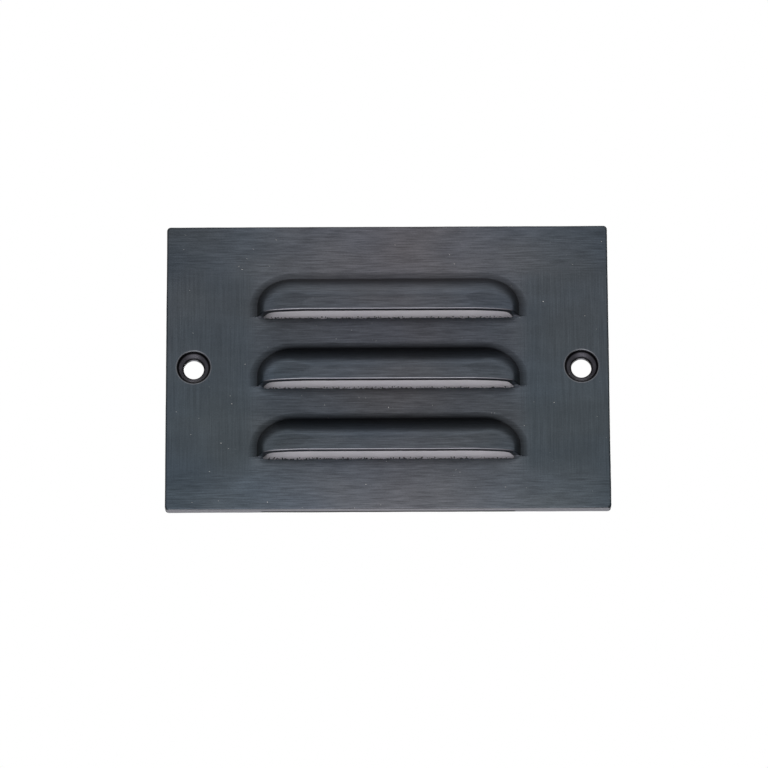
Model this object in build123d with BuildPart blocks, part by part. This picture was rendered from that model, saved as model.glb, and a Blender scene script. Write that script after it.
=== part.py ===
from build123d import *
import os
from math import cos, radians, tan

# Louvred step light: a cast face plate over a lamp housing let into the wall.
# It stands upright, as mounted: +X right, +Z up, and the front faces -Y.
# The origin is midway between the two wall screw holes, on the plate's back face.
# All sizes are in millimetres. A "depth" is measured into the wall, along +Y.

# ---------------------------------------------------------------- driving sizes

# face plate casting, 114.3 wide: a plain field lies beyond each end of the hoods
plate_field = 21.15
plate_height = 76.2
plate_thick = 3.2
plate_corner = 1.0
plate_edge = 0.4

# wall screw holes, 100 apart
screw_inset = 7.15
screw_hole_dia = 5.2
sink_dia = 8.6
sink_angle = 90.0
sink_rim = 0.3

# louvre hoods, cast with the plate
louvre_count = 3
louvre_pitch = 18.9
louvre_mid_z = -5.75
hood_width = 72.0
hood_height = 12.4
hood_reach = 7.0
hood_wall = 2.0
hood_side_wall = 1.8
hood_corner = 7.5
hood_crown_corner = 5.0
hood_top_flare = 1.6
hood_side_flare = 2.0
hood_flare_reach = 0.8
hood_top_lean = 33.0
hood_top_bulge = 1.9
hood_top_crown = 0.8
hood_top_crown_power = 16
hood_side_lean = 20.0
hood_side_crown = 9.3
hood_side_crown_power = 9
mouth_clear = 1.0

# lens and its two gaskets, inside a rim on the plate's back
aperture_margin = 0.4
lens_seat = 3.4
lens_thick = 3.0
lens_corner = 2.5
lens_edge = 0.3
lens_gasket_thick = 1.0
lens_clearance = 0.4
rim_wall = 2.0
rim_gap = 0.6

# tapped bosses on the plate and the four screws that hold the housing
boss_dia = 6.4
boss_spacing_z = 40.0
boss_hole_dia = 3.1
boss_hole_extra = 0.8
housing_screw_dia = 3.0
housing_screw_bite = 4.5
lug_hole_dia = 3.4

# wall gasket
wall_gasket_thick = 1.0
wall_gasket_inset = 1.0
wall_gasket_gap = 0.8
wall_gasket_hole_dia = 6.0

# housing, a tapered die-cast box
housing_depth = 40.0
housing_wall = 2.0
housing_floor = 2.5
housing_taper_x = 2.2
housing_taper_z = 4.0
housing_corner = 5.0
housing_back_bevel = 1.2
flange_thick = 2.5
post_dia = 6.5
post_inset = 9.5
post_z = 11.0
hub_dia = 19.0
hub_height = 1.5

# reflector tray, pressed aluminium sheet
tray_sheet = 0.8
tray_front_gap = 1.2
tray_front_setback = 3.0
tray_terminal_gap = 4.5
tray_slope_x = 5.0
tray_slope_z = 8.8
tray_corner = 5.0
tray_window_height = 10.0
tray_window_setback = 4.0

# tray screws
tray_screw_dia = 3.0
tray_screw_bite = 6.0

# lampholder, its bracket and screws
holder_length = 10.0
holder_thick = 9.0
holder_height = 16.0
holder_bevel = 0.6
holder_wall_gap = 15.5
lamp_standoff = 9.0
bracket_sheet = 1.0
bracket_foot = 11.0
bracket_margin = 3.0
holder_screw_dia = 2.0
holder_screw_spacing = 12.0
holder_screw_bite = 4.0
contact_dia = 2.2
contact_length = 8.2
contact_play = 0.05

# two-pin capsule lamp
pin_pitch = 4.0
pin_dia = 0.7
pin_length = 7.5
pin_play = 0.05
lamp_gap = 0.3
lamp_length = 31.0
lamp_dia = 9.0
lamp_glass = 0.8
pinch_length = 10.0
pinch_thick = 3.6
pinch_width = 8.4
filament_dia = 1.1
filament_post_dia = 0.5
filament_post_length = 7.0

# terminal block
terminal_length = 14.0
terminal_deep = 10.0
terminal_pitch = 7.4
terminal_margin = 3.2
terminal_gland_gap_x = 12.0
terminal_gland_gap_z = 15.5
barrel_dia = 4.2
barrel_bore = 2.0
barrel_length = 13.0
barrel_depth = 4.5
terminal_screw_dia = 2.0
terminal_screw_head = 3.4
terminal_screw_head_height = 1.4
terminal_screw_stand = 0.3
terminal_screw_spacing = 7.0
terminal_well_dia = 3.8
fixing_screw_dia = 2.2
fixing_screw_bite = 2.0
fixing_screw_short = 0.2

# lampholder leads, which run down the housing's side and along its floor
lead_dia = 1.4
lead_side_gap = 1.6
lead_floor_gap = 3.7
lead_entry = 1.0
lead_bend = 7.0
lead_turn_lower = 1.7
lead_turn_shifts = (3.2, 3.6)
lead_corner_shifts = (2.6, 4.4)
lead_sways = (0.5, 0.4)
lead_corner_rise = 0.7
lead_stops = (0.12, 0.6)

# cable gland
gland_z = 4.0
gland_thread_dia = 12.0
gland_play = 0.1
gland_hex = 15.0
gland_hex_thick = 4.0
gland_barrel_length = 7.0
gland_end_gap = 1.0
gland_bore = 7.0
gland_washer_thick = 1.0
gland_locknut_thick = 2.5
gland_seal_outer = 9.5
gland_seal_bore = 6.0
gland_seal_length = 6.2
gland_seal_stand = 0.2
gland_washer_margin = 0.6
gland_nut_length = 9.5
gland_nut_wall = 1.6
gland_nut_gap = 0.5
gland_nut_hex_share = 0.6
gland_nut_bevel_share = 0.25

# fit between a fixed screw and its hole, on the radius
screw_play = 0.05

# ---------------------------------------------------------------- worked-out places

plate_width = hood_width + 2 * plate_field
screw_spacing = plate_width - 2 * screw_inset

slot_edges = [
    louvre_mid_z + louvre_pitch * (row - (louvre_count - 1) / 2)
    for row in range(louvre_count)
]
slot_width = hood_width - 2 * (hood_side_flare + hood_side_wall)
slot_height = hood_height - hood_top_flare - hood_wall / cos(radians(hood_top_lean))

window_reach = max(-min(slot_edges), max(slot_edges) + slot_height)
aperture_width = slot_width + 2 * aperture_margin
aperture_height = 2 * (window_reach + aperture_margin)
lens_width = aperture_width + 2 * lens_seat
lens_height = aperture_height + 2 * lens_seat
rim_width = lens_width + 2 * (lens_clearance + rim_wall)
rim_height = lens_height + 2 * (lens_clearance + rim_wall)
boss_spacing_x = rim_width - 2 * rim_wall + boss_dia

lens_depth = lens_gasket_thick
rear_gasket_depth = lens_depth + lens_thick
flange_depth = rear_gasket_depth + lens_gasket_thick
flange_back = flange_depth + flange_thick
housing_back = flange_depth + housing_depth
floor_depth = housing_back - housing_floor

box_width = aperture_width + 2 * housing_wall
box_height = aperture_height + 2 * housing_wall
box_back_width = box_width - 2 * housing_taper_x
box_back_height = box_height - 2 * housing_taper_z
floor_share = (floor_depth - flange_depth) / housing_depth
floor_width = aperture_width - 2 * housing_taper_x * floor_share
floor_height = aperture_height - 2 * housing_taper_z * floor_share

tray_front = flange_depth + tray_front_setback
terminal_depth = floor_depth - terminal_deep
tray_back = terminal_depth - tray_terminal_gap
tray_deep = tray_back - tray_front
tray_width = aperture_width - 2 * tray_front_gap
tray_height = aperture_height - 2 * tray_front_gap
tray_back_width = tray_width - 2 * tray_slope_x
tray_back_height = tray_height - 2 * tray_slope_z
tray_floor = tray_back - tray_sheet

lamp_depth = tray_back - lamp_standoff
holder_front_x = holder_wall_gap - tray_back_width / 2
holder_back_x = holder_front_x - holder_length
bracket_left_x = holder_back_x - bracket_sheet
foot_depth = tray_floor - bracket_sheet
contact_back_x = holder_front_x - contact_length
lamp_base_x = holder_front_x + lamp_gap
post_spacing = tray_back_width - 2 * post_inset
post_left_x = -post_spacing / 2

terminal_left_x = terminal_gland_gap_x
terminal_mid_x = terminal_left_x + terminal_length / 2
terminal_mid_z = gland_z - terminal_gland_gap_z
terminal_height = terminal_pitch + 2 * terminal_margin
barrel_axis_depth = floor_depth - barrel_depth

hub_back = housing_back + hub_height
gland_hex_front = hub_back + gland_washer_thick
gland_hex_back = gland_hex_front + gland_hex_thick
gland_front = floor_depth - gland_locknut_thick - gland_end_gap
gland_end = gland_hex_back + gland_barrel_length
seal_front = gland_end - gland_seal_length + gland_seal_stand
nut_front = gland_hex_back + gland_nut_gap
nut_hex_length = gland_nut_length * gland_nut_hex_share

os.makedirs("parts", exist_ok=True)


# ---------------------------------------------------------------- helpers


def front_plane(depth):
    """A plane at a depth into the wall, seen from the front: X right, Z up."""
    return Plane.XZ.offset(-depth)


def rear_plane(depth):
    """The same plane turned about, so that its normal points into the wall."""
    return Plane(origin=(0, depth, 0), x_dir=(1, 0, 0), z_dir=(0, 1, 0))


def save(piece, label):
    piece.part.label = label
    export_step(piece.part, f"parts/{label}.step")


def rounded_frame(outer, inner, outer_corner, inner_corner):
    """A flat rectangular frame, as a sketch."""
    with BuildSketch() as frame:
        RectangleRounded(*outer, outer_corner)
        RectangleRounded(*inner, inner_corner, mode=Mode.SUBTRACT)
    return frame.sketch


def pan_screw(dia, length, head_dia, head_height):
    """A cross-recessed pan head screw: seat at the origin, shank along -Z."""
    with BuildPart() as screw:
        with BuildSketch():
            Circle(dia / 2)
        extrude(amount=-length)
        with BuildSketch():
            Circle(head_dia / 2)
        extrude(amount=head_height)
        chamfer(screw.faces().sort_by(Axis.Z)[-1].edges(), head_height * 0.4)
        with BuildSketch(Plane.XY.offset(head_height)):
            Rectangle(head_dia * 0.55, head_dia * 0.14)
            Rectangle(head_dia * 0.14, head_dia * 0.55)
        extrude(amount=-head_height * 0.55, mode=Mode.SUBTRACT)
        chamfer(screw.faces().sort_by(Axis.Z)[0].edges(), dia * 0.15)
    return screw.part


def slotted_screw(dia, length, head_dia, head_height):
    """A slotted cheese head screw: seat at the origin, shank along -Z."""
    with BuildPart() as screw:
        with BuildSketch():
            Circle(dia / 2)
        extrude(amount=-length)
        with BuildSketch():
            Circle(head_dia / 2)
        extrude(amount=head_height)
        with BuildSketch(Plane.XY.offset(head_height)):
            Rectangle(head_dia, head_dia * 0.2)
        extrude(amount=-head_height * 0.5, mode=Mode.SUBTRACT)
    return screw.part


# ---------------------------------------------------------------- face plate

# A hood's outline shrinks as it reaches out of the plate. It flares into the plate
# at its foot. Its top leans back ever more towards a tight shoulder. Its sides stand
# steeper and roll over a long, soft shoulder.


def flare_left(reach):
    """The share of the foot's flare that is left, at a reach."""
    return max(0.0, 1 - reach / hood_flare_reach) ** 2


def hood_drop(reach, full_reach):
    """How far the top has come down from the foot line, at a reach."""
    share = reach / full_reach
    lean = reach * tan(radians(hood_top_lean)) + hood_top_bulge * share**3
    return lean + hood_top_crown * share**hood_top_crown_power


def hood_inset(reach, full_reach):
    """How far a side has come in from the foot line, at a reach."""
    lean = reach * tan(radians(hood_side_lean))
    return lean + hood_side_crown * (reach / full_reach) ** hood_side_crown_power


def hood_outline(edge_z, half_width, top, corner):
    """A hood's section parallel to the plate: open line below, round corners above."""
    with BuildSketch() as outline:
        with BuildLine():
            Line((-half_width, edge_z), (half_width, edge_z))
            Line((half_width, edge_z), (half_width, edge_z + top - corner))
            RadiusArc(
                (half_width, edge_z + top - corner),
                (half_width - corner, edge_z + top),
                -corner,
            )
            Line(
                (half_width - corner, edge_z + top),
                (corner - half_width, edge_z + top),
            )
            RadiusArc(
                (corner - half_width, edge_z + top),
                (-half_width, edge_z + top - corner),
                -corner,
            )
            Line((-half_width, edge_z + top - corner), (-half_width, edge_z))
        make_face()
    return outline.sketch


# how far out each section of a hood and of its hollow lies, as shares of the reach
outer_shares = [0.0, 0.03, 0.07, 0.115, 0.4, 0.6, 0.75, 0.84, 0.9, 0.95, 0.98, 1.0]
inner_shares = [0.0, 0.6, 0.85, 1.0]
inner_reach = hood_reach - hood_wall
inner_corner = hood_corner - hood_side_wall

with BuildPart() as face_plate:
    with BuildSketch(front_plane(0)):
        RectangleRounded(plate_width, plate_height, plate_corner)
    extrude(amount=plate_thick)
    chamfer(face_plate.faces().sort_by(Axis.Y)[0].edges(), plate_edge)
    # the hoods
    for edge_z in slot_edges:
        for share in outer_shares:
            reach = share * hood_reach
            flare = flare_left(reach)
            side_flare = hood_side_flare * (1 - flare)
            half_width = hood_width / 2 - side_flare - hood_inset(reach, hood_reach)
            top_flare = hood_top_flare * (1 - flare)
            top = hood_height - top_flare - hood_drop(reach, hood_reach)
            corner = hood_corner + (hood_crown_corner - hood_corner) * share
            corner = corner + hood_side_flare * flare
            with BuildSketch(front_plane(-plate_thick - reach)):
                add(hood_outline(edge_z, half_width, top, min(corner, top * 0.8)))
        loft(ruled=True)
    # the slots through the plate, and the hollows behind the hoods
    for edge_z in slot_edges:
        with BuildSketch(front_plane(0)):
            add(hood_outline(edge_z, slot_width / 2, slot_height, inner_corner))
        extrude(amount=plate_thick, mode=Mode.SUBTRACT)
        for share in inner_shares:
            reach = share * inner_reach
            half_width = slot_width / 2 - hood_inset(reach, inner_reach)
            top = slot_height - hood_drop(reach, inner_reach)
            corner = min(inner_corner, top * 0.8)
            with BuildSketch(front_plane(-plate_thick - reach)):
                add(hood_outline(edge_z - mouth_clear, half_width, top + mouth_clear, corner))
        loft(ruled=True, mode=Mode.SUBTRACT)
    # the rim round the lens, and the four tapped bosses
    with BuildSketch(front_plane(0)):
        add(
            rounded_frame(
                (rim_width, rim_height),
                (rim_width - 2 * rim_wall, rim_height - 2 * rim_wall),
                lens_corner + lens_clearance + rim_wall,
                lens_corner + lens_clearance,
            )
        )
    extrude(amount=-(flange_depth - rim_gap))
    with BuildSketch(front_plane(0)):
        with GridLocations(boss_spacing_x, boss_spacing_z, 2, 2):
            Circle(boss_dia / 2)
    extrude(amount=-flange_depth)
    with Locations(rear_plane(flange_depth)):
        with GridLocations(boss_spacing_x, boss_spacing_z, 2, 2):
            Hole(boss_hole_dia / 2, depth=flange_depth + boss_hole_extra)
    with Locations(front_plane(sink_rim - plate_thick)):
        with GridLocations(screw_spacing, 0, 2, 1):
            CounterSinkHole(screw_hole_dia / 2, sink_dia / 2, counter_sink_angle=sink_angle)
save(face_plate, "face_plate")

# ---------------------------------------------------------------- gaskets and lens

with BuildPart() as wall_gasket:
    with BuildSketch(front_plane(0)):
        add(
            rounded_frame(
                (plate_width - 2 * wall_gasket_inset, plate_height - 2 * wall_gasket_inset),
                (
                    boss_spacing_x + boss_dia + 2 * wall_gasket_gap,
                    rim_height + 2 * wall_gasket_gap,
                ),
                plate_corner,
                lens_corner + lens_clearance + rim_wall + wall_gasket_gap,
            )
        )
        with GridLocations(screw_spacing, 0, 2, 1):
            Circle(wall_gasket_hole_dia / 2, mode=Mode.SUBTRACT)
    extrude(amount=-wall_gasket_thick)
save(wall_gasket, "wall_gasket")

lens_frame = rounded_frame(
    (lens_width, lens_height),
    (aperture_width, aperture_height),
    lens_corner,
    lens_corner,
)

with BuildPart() as lens_front_gasket:
    with BuildSketch(front_plane(0)):
        add(lens_frame)
    extrude(amount=-lens_gasket_thick)
save(lens_front_gasket, "lens_front_gasket")

with BuildPart() as lens:
    with BuildSketch(front_plane(lens_depth)):
        RectangleRounded(lens_width, lens_height, lens_corner)
    extrude(amount=-lens_thick)
    chamfer(lens.edges().filter_by(Axis.Y, reverse=True), lens_edge)
save(lens, "lens")

with BuildPart() as lens_rear_gasket:
    with BuildSketch(front_plane(rear_gasket_depth)):
        add(lens_frame)
    extrude(amount=-lens_gasket_thick)
save(lens_rear_gasket, "lens_rear_gasket")

# ---------------------------------------------------------------- housing

with BuildPart() as housing:
    with BuildSketch(front_plane(flange_depth)):
        RectangleRounded(rim_width, rim_height, housing_corner)
        with GridLocations(boss_spacing_x, boss_spacing_z, 2, 2):
            Circle(boss_dia / 2)
    extrude(amount=-flange_thick)
    with BuildSketch(front_plane(flange_depth)):
        RectangleRounded(box_width, box_height, housing_corner)
    with BuildSketch(front_plane(housing_back)):
        RectangleRounded(box_back_width, box_back_height, housing_corner)
    loft(ruled=True)
    chamfer(housing.faces().sort_by(Axis.Y)[-1].edges(), housing_back_bevel)
    with BuildSketch(front_plane(flange_depth)):
        RectangleRounded(aperture_width, aperture_height, housing_corner - housing_wall)
    with BuildSketch(front_plane(floor_depth)):
        RectangleRounded(floor_width, floor_height, housing_corner - housing_wall)
    loft(ruled=True, mode=Mode.SUBTRACT)
    with BuildSketch(front_plane(tray_back)):
        with Locations((0, post_z)):
            with GridLocations(post_spacing, 0, 2, 1):
                Circle(post_dia / 2)
    extrude(amount=-(floor_depth - tray_back))
    with BuildSketch(front_plane(housing_back)):
        with Locations((0, gland_z)):
            Circle(hub_dia / 2)
    extrude(amount=-hub_height)
    with Locations(rear_plane(flange_back)):
        with GridLocations(boss_spacing_x, boss_spacing_z, 2, 2):
            Hole(lug_hole_dia / 2, depth=flange_thick)
    with Locations(front_plane(tray_back)):
        with Locations((0, post_z)):
            with GridLocations(post_spacing, 0, 2, 1):
                Hole(tray_screw_dia / 2 + screw_play, depth=tray_screw_bite + 1)
    with Locations(front_plane(floor_depth)):
        with Locations((0, gland_z)):
            Hole(gland_thread_dia / 2 + gland_play, depth=housing_floor + hub_height)
        with Locations((terminal_mid_x, terminal_mid_z)):
            Hole(fixing_screw_dia / 2 + screw_play, depth=fixing_screw_bite)
save(housing, "housing")

housing_screw = pan_screw(
    housing_screw_dia,
    flange_thick + housing_screw_bite,
    housing_screw_dia * 1.9,
    housing_screw_dia * 0.65,
)
with BuildPart() as housing_screws:
    with Locations(rear_plane(flange_back)):
        with GridLocations(boss_spacing_x, boss_spacing_z, 2, 2):
            add(housing_screw)
save(housing_screws, "housing_screws")

# ---------------------------------------------------------------- reflector tray

with BuildPart() as reflector:
    for sheet in (0, tray_sheet):
        with BuildSketch(front_plane(tray_front)):
            RectangleRounded(tray_width - 2 * sheet, tray_height - 2 * sheet, tray_corner - sheet)
        with BuildSketch(front_plane(tray_back - sheet)):
            RectangleRounded(
                tray_back_width - 2 * sheet,
                tray_back_height - 2 * sheet,
                tray_corner - sheet,
            )
        loft(ruled=True, mode=Mode.SUBTRACT if sheet else Mode.ADD)
    with Locations(front_plane(tray_back)):
        with Locations((0, post_z)):
            with GridLocations(post_spacing, 0, 2, 1):
                Hole(tray_screw_dia / 2 + 2 * screw_play, depth=tray_sheet)
    window_deep = tray_deep - 2 * tray_window_setback
    with BuildSketch(Plane.YZ.offset(-tray_width / 2)):
        with Locations((tray_front + tray_deep / 2, 0)):
            RectangleRounded(window_deep, tray_window_height, 2.0)
    extrude(amount=tray_slope_x + 2 * tray_sheet, mode=Mode.SUBTRACT)
save(reflector, "reflector")

tray_screw = pan_screw(
    tray_screw_dia,
    tray_screw_bite + tray_sheet,
    tray_screw_dia * 1.8,
    tray_screw_dia * 0.6,
)
tray_screw_left = pan_screw(
    tray_screw_dia,
    tray_screw_bite + tray_sheet + bracket_sheet,
    tray_screw_dia * 1.8,
    tray_screw_dia * 0.6,
)
with BuildPart() as tray_screws:
    with Locations(front_plane(foot_depth)):
        with Locations((post_left_x, post_z)):
            add(tray_screw_left)
    with Locations(front_plane(tray_floor)):
        with Locations((-post_left_x, post_z)):
            add(tray_screw)
save(tray_screws, "tray_screws")

# ---------------------------------------------------------------- lampholder

bracket_bottom = -holder_height / 2
bracket_top = post_z + bracket_margin
bracket_front = lamp_depth - holder_thick / 2 - 1

with BuildPart() as lampholder_bracket:
    with BuildSketch(Plane.YZ.offset(bracket_left_x)) as upright:
        with BuildLine():
            Polyline(
                (bracket_front, bracket_bottom),
                (tray_floor, bracket_bottom),
                (tray_floor, bracket_top),
                (tray_floor - bracket_foot / 2, bracket_top),
                (bracket_front, -bracket_bottom),
                close=True,
            )
        make_face()
        fillet(upright.vertices().group_by(Axis.X)[0], 2.0)
    extrude(amount=bracket_sheet)
    with BuildSketch(front_plane(foot_depth)):
        with Locations((bracket_left_x + bracket_foot / 2, post_z)):
            Rectangle(bracket_foot, 2 * bracket_margin)
    extrude(amount=-bracket_sheet)
    with Locations(front_plane(foot_depth)):
        with Locations((post_left_x, post_z)):
            Hole(tray_screw_dia / 2 + 2 * screw_play, depth=bracket_sheet)
    with BuildSketch(Plane.YZ.offset(bracket_left_x)):
        with Locations((lamp_depth, 0)):
            SlotOverall(pin_pitch + 2 * lead_dia, 2 * lead_dia, rotation=90)
            with GridLocations(0, holder_screw_spacing, 1, 2):
                Circle(holder_screw_dia / 2 + 2 * screw_play)
    extrude(amount=bracket_sheet, mode=Mode.SUBTRACT)
save(lampholder_bracket, "lampholder_bracket")

with BuildPart() as lampholder_body:
    with BuildSketch(Plane.YZ.offset(holder_back_x)):
        with Locations((lamp_depth, 0)):
            RectangleRounded(holder_thick, holder_height, 2.0)
    extrude(amount=holder_length)
    chamfer(lampholder_body.faces().sort_by(Axis.X)[-1].edges(), holder_bevel)
    with BuildSketch(Plane.YZ.offset(holder_front_x)):
        with Locations((lamp_depth, 0)):
            with GridLocations(0, pin_pitch, 1, 2):
                Circle(contact_dia / 2)
    extrude(amount=-contact_length, mode=Mode.SUBTRACT)
    with BuildSketch(Plane.YZ.offset(holder_back_x)):
        with Locations((lamp_depth, 0)):
            with GridLocations(0, pin_pitch, 1, 2):
                Circle(lead_dia / 2 + screw_play)
    extrude(amount=holder_length - contact_length, mode=Mode.SUBTRACT)
    with BuildSketch(Plane.YZ.offset(holder_back_x)):
        with Locations((lamp_depth, 0)):
            with GridLocations(0, holder_screw_spacing, 1, 2):
                Circle(holder_screw_dia / 2 + screw_play)
    extrude(amount=holder_screw_bite + 1, mode=Mode.SUBTRACT)
save(lampholder_body, "lampholder_body")

with BuildPart() as lampholder_contacts:
    with BuildSketch(Plane.YZ.offset(holder_front_x)):
        with Locations((lamp_depth, 0)):
            with GridLocations(0, pin_pitch, 1, 2):
                Circle(contact_dia / 2 - contact_play)
                Circle(pin_dia / 2 + pin_play, mode=Mode.SUBTRACT)
    extrude(amount=-contact_length)
save(lampholder_contacts, "lampholder_contacts")

holder_screw = pan_screw(
    holder_screw_dia,
    bracket_sheet + holder_screw_bite,
    holder_screw_dia * 1.8,
    holder_screw_dia * 0.6,
)
holder_screw_plane = Plane(
    origin=(bracket_left_x, lamp_depth, 0),
    x_dir=(0, 1, 0),
    z_dir=(-1, 0, 0),
)
with BuildPart() as lampholder_screws:
    with Locations(holder_screw_plane):
        with GridLocations(0, holder_screw_spacing, 1, 2):
            add(holder_screw)
save(lampholder_screws, "lampholder_screws")

# ---------------------------------------------------------------- lamp

lamp_plane = Plane(origin=(lamp_base_x, lamp_depth, 0))
lamp_axis = Axis((lamp_base_x, lamp_depth, 0), (1, 0, 0))
lamp_radius = lamp_dia / 2
hollow_radius = lamp_radius - lamp_glass
hollow_start = pinch_length + 1.0
hollow_end = lamp_length - 2 * lamp_glass
nose_start = lamp_length - lamp_radius

with BuildPart() as lamp_capsule:
    with BuildSketch(lamp_plane):
        with BuildLine():
            Line((pinch_length - 2, 0), (pinch_length - 2, pinch_thick / 2))
            Line((pinch_length - 2, pinch_thick / 2), (pinch_length + 2, lamp_radius))
            Line((pinch_length + 2, lamp_radius), (nose_start, lamp_radius))
            RadiusArc((nose_start, lamp_radius), (lamp_length, 0), lamp_radius)
            Line((lamp_length, 0), (pinch_length - 2, 0))
        make_face()
    revolve(axis=lamp_axis)
    with BuildSketch(Plane.YZ.offset(lamp_base_x)):
        with Locations((lamp_depth, 0)):
            RectangleRounded(pinch_thick, pinch_width, 1.0)
    extrude(amount=pinch_length)
    with BuildSketch(lamp_plane):
        with BuildLine():
            Line((hollow_start, 0), (hollow_start, hollow_radius - 1))
            Line((hollow_start, hollow_radius - 1), (hollow_start + 1, hollow_radius))
            Line((hollow_start + 1, hollow_radius), (nose_start, hollow_radius))
            Line((nose_start, hollow_radius), (hollow_end, hollow_radius / 2))
            Line((hollow_end, hollow_radius / 2), (hollow_end, 0))
            Line((hollow_end, 0), (hollow_start, 0))
        make_face()
    revolve(axis=lamp_axis, mode=Mode.SUBTRACT)
save(lamp_capsule, "lamp_capsule")

with BuildPart() as lamp_pins:
    with BuildSketch(Plane.YZ.offset(lamp_base_x)):
        with Locations((lamp_depth, 0)):
            with GridLocations(0, pin_pitch, 1, 2):
                Circle(pin_dia / 2)
    extrude(amount=-pin_length)
save(lamp_pins, "lamp_pins")

post_end_x = lamp_base_x + hollow_start + filament_post_length
with BuildPart() as lamp_filament:
    with BuildSketch(Plane.YZ.offset(lamp_base_x + hollow_start)):
        with Locations((lamp_depth, 0)):
            with GridLocations(0, pin_pitch, 1, 2):
                Circle(filament_post_dia / 2)
    extrude(amount=filament_post_length)
    with Locations((post_end_x, lamp_depth, 0)):
        Cylinder(filament_dia / 2, pin_pitch + 2 * filament_post_dia)
save(lamp_filament, "lamp_filament")

# ---------------------------------------------------------------- terminal block

barrel_plane = Plane.YZ.offset(terminal_mid_x)
barrel_places = [
    (barrel_axis_depth, terminal_mid_z - terminal_pitch / 2),
    (barrel_axis_depth, terminal_mid_z + terminal_pitch / 2),
]

with BuildPart() as terminal_block:
    with BuildSketch(front_plane(terminal_depth)):
        with Locations((terminal_mid_x, terminal_mid_z)):
            RectangleRounded(terminal_length, terminal_height, 1.0)
    extrude(amount=-terminal_deep)
    with BuildSketch(barrel_plane):
        with Locations(*barrel_places):
            Circle(barrel_dia / 2 + screw_play)
    extrude(amount=terminal_length, both=True, mode=Mode.SUBTRACT)
    with BuildSketch(front_plane(terminal_depth)):
        with Locations((terminal_mid_x, terminal_mid_z)):
            with GridLocations(terminal_screw_spacing, terminal_pitch, 2, 2):
                Circle(terminal_well_dia / 2)
    extrude(amount=-(barrel_axis_depth - terminal_depth), mode=Mode.SUBTRACT)
    with Locations(front_plane(terminal_depth)):
        with Locations((terminal_mid_x, terminal_mid_z)):
            Hole(fixing_screw_dia / 2 + screw_play, depth=terminal_deep)
save(terminal_block, "terminal_block")

with BuildPart() as terminal_barrels:
    with BuildSketch(barrel_plane):
        with Locations(*barrel_places):
            Circle(barrel_dia / 2)
            Circle(barrel_bore / 2, mode=Mode.SUBTRACT)
    extrude(amount=barrel_length / 2, both=True)
    with BuildSketch(front_plane(terminal_depth)):
        with Locations((terminal_mid_x, terminal_mid_z)):
            with GridLocations(terminal_screw_spacing, terminal_pitch, 2, 2):
                Circle(terminal_screw_dia / 2 + screw_play)
    extrude(amount=-(barrel_axis_depth - terminal_depth), mode=Mode.SUBTRACT)
save(terminal_barrels, "terminal_barrels")

clamp_seat = barrel_axis_depth - barrel_dia / 2 - terminal_screw_stand
clamp_tip = barrel_axis_depth - lead_dia / 2 - screw_play
terminal_screw = slotted_screw(
    terminal_screw_dia,
    clamp_tip - clamp_seat,
    terminal_screw_head,
    terminal_screw_head_height,
)
with BuildPart() as terminal_screws:
    with Locations(front_plane(clamp_seat)):
        with Locations((terminal_mid_x, terminal_mid_z)):
            with GridLocations(terminal_screw_spacing, terminal_pitch, 2, 2):
                add(terminal_screw)
save(terminal_screws, "terminal_screws")

fixing_screw = pan_screw(
    fixing_screw_dia,
    terminal_deep + fixing_screw_bite - fixing_screw_short,
    fixing_screw_dia * 1.8,
    fixing_screw_dia * 0.5,
)
with BuildPart() as terminal_fixing_screw:
    with Locations(front_plane(terminal_depth)):
        with Locations((terminal_mid_x, terminal_mid_z)):
            add(fixing_screw)
save(terminal_fixing_screw, "terminal_fixing_screw")

# ---------------------------------------------------------------- leads

# Each lead leaves the back of its contact, turns round the tray's edge and runs
# along the housing floor to its barrel, a little slack and not quite straight.


def bend_radii(points):
    """The radius at each inner point: a soft bend, or what its two runs allow."""
    radii = []
    for before, here, after in zip(points, points[1:], points[2:]):
        arriving = Vector(*here) - Vector(*before)
        leaving = Vector(*after) - Vector(*here)
        shorter = min(arriving.length, leaving.length)
        half_turn = radians(arriving.get_angle(leaving) / 2)
        radii.append(min(lead_bend, 0.45 * shorter / tan(half_turn)))
    return radii


def side_x(depth):
    """Where a lead runs beside the housing's wall, at a depth."""
    share = (depth - flange_depth) / housing_depth
    wall_x = housing_taper_x * share - aperture_width / 2
    return wall_x + lead_side_gap + lead_dia / 2


def lead_points(row, side):
    """From a contact, down the housing's left side, and along its floor."""
    start_z = side * pin_pitch / 2
    end_z = terminal_mid_z + side * terminal_pitch / 2
    end_x = terminal_mid_x - barrel_length / 2 + lead_entry
    run_depth = floor_depth - lead_floor_gap
    turn_depth = (lamp_depth + run_depth) / 2 + lead_turn_lower
    run_left_x = side_x(run_depth)
    stops_x = [run_left_x + (end_x - run_left_x) * share for share in lead_stops]
    return [
        (contact_back_x, lamp_depth, start_z),
        (side_x(lamp_depth), lamp_depth, start_z),
        (side_x(turn_depth), turn_depth, start_z - lead_turn_shifts[row]),
        (stops_x[0], run_depth - lead_corner_rise, end_z + lead_corner_shifts[row]),
        (stops_x[1], run_depth, end_z - lead_sways[row]),
        (end_x, barrel_axis_depth, end_z),
    ]


lead_routes = {
    "lead_live": lead_points(0, 1),
    "lead_neutral": lead_points(1, -1),
}
for name, points in lead_routes.items():
    radii = bend_radii(points)
    with BuildPart() as lead:
        with BuildLine() as route:
            FilletPolyline(*points, radius=radii)
        with BuildSketch(Plane(origin=route.line @ 0, z_dir=route.line % 0)):
            Circle(lead_dia / 2)
        sweep()
    save(lead, name)
    length = sum(edge.length for edge in route.edges())
    print(name, "length", round(length, 1), "radii", [round(radius, 1) for radius in radii])

# ---------------------------------------------------------------- cable gland

gland_centre = (0, gland_z)

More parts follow.
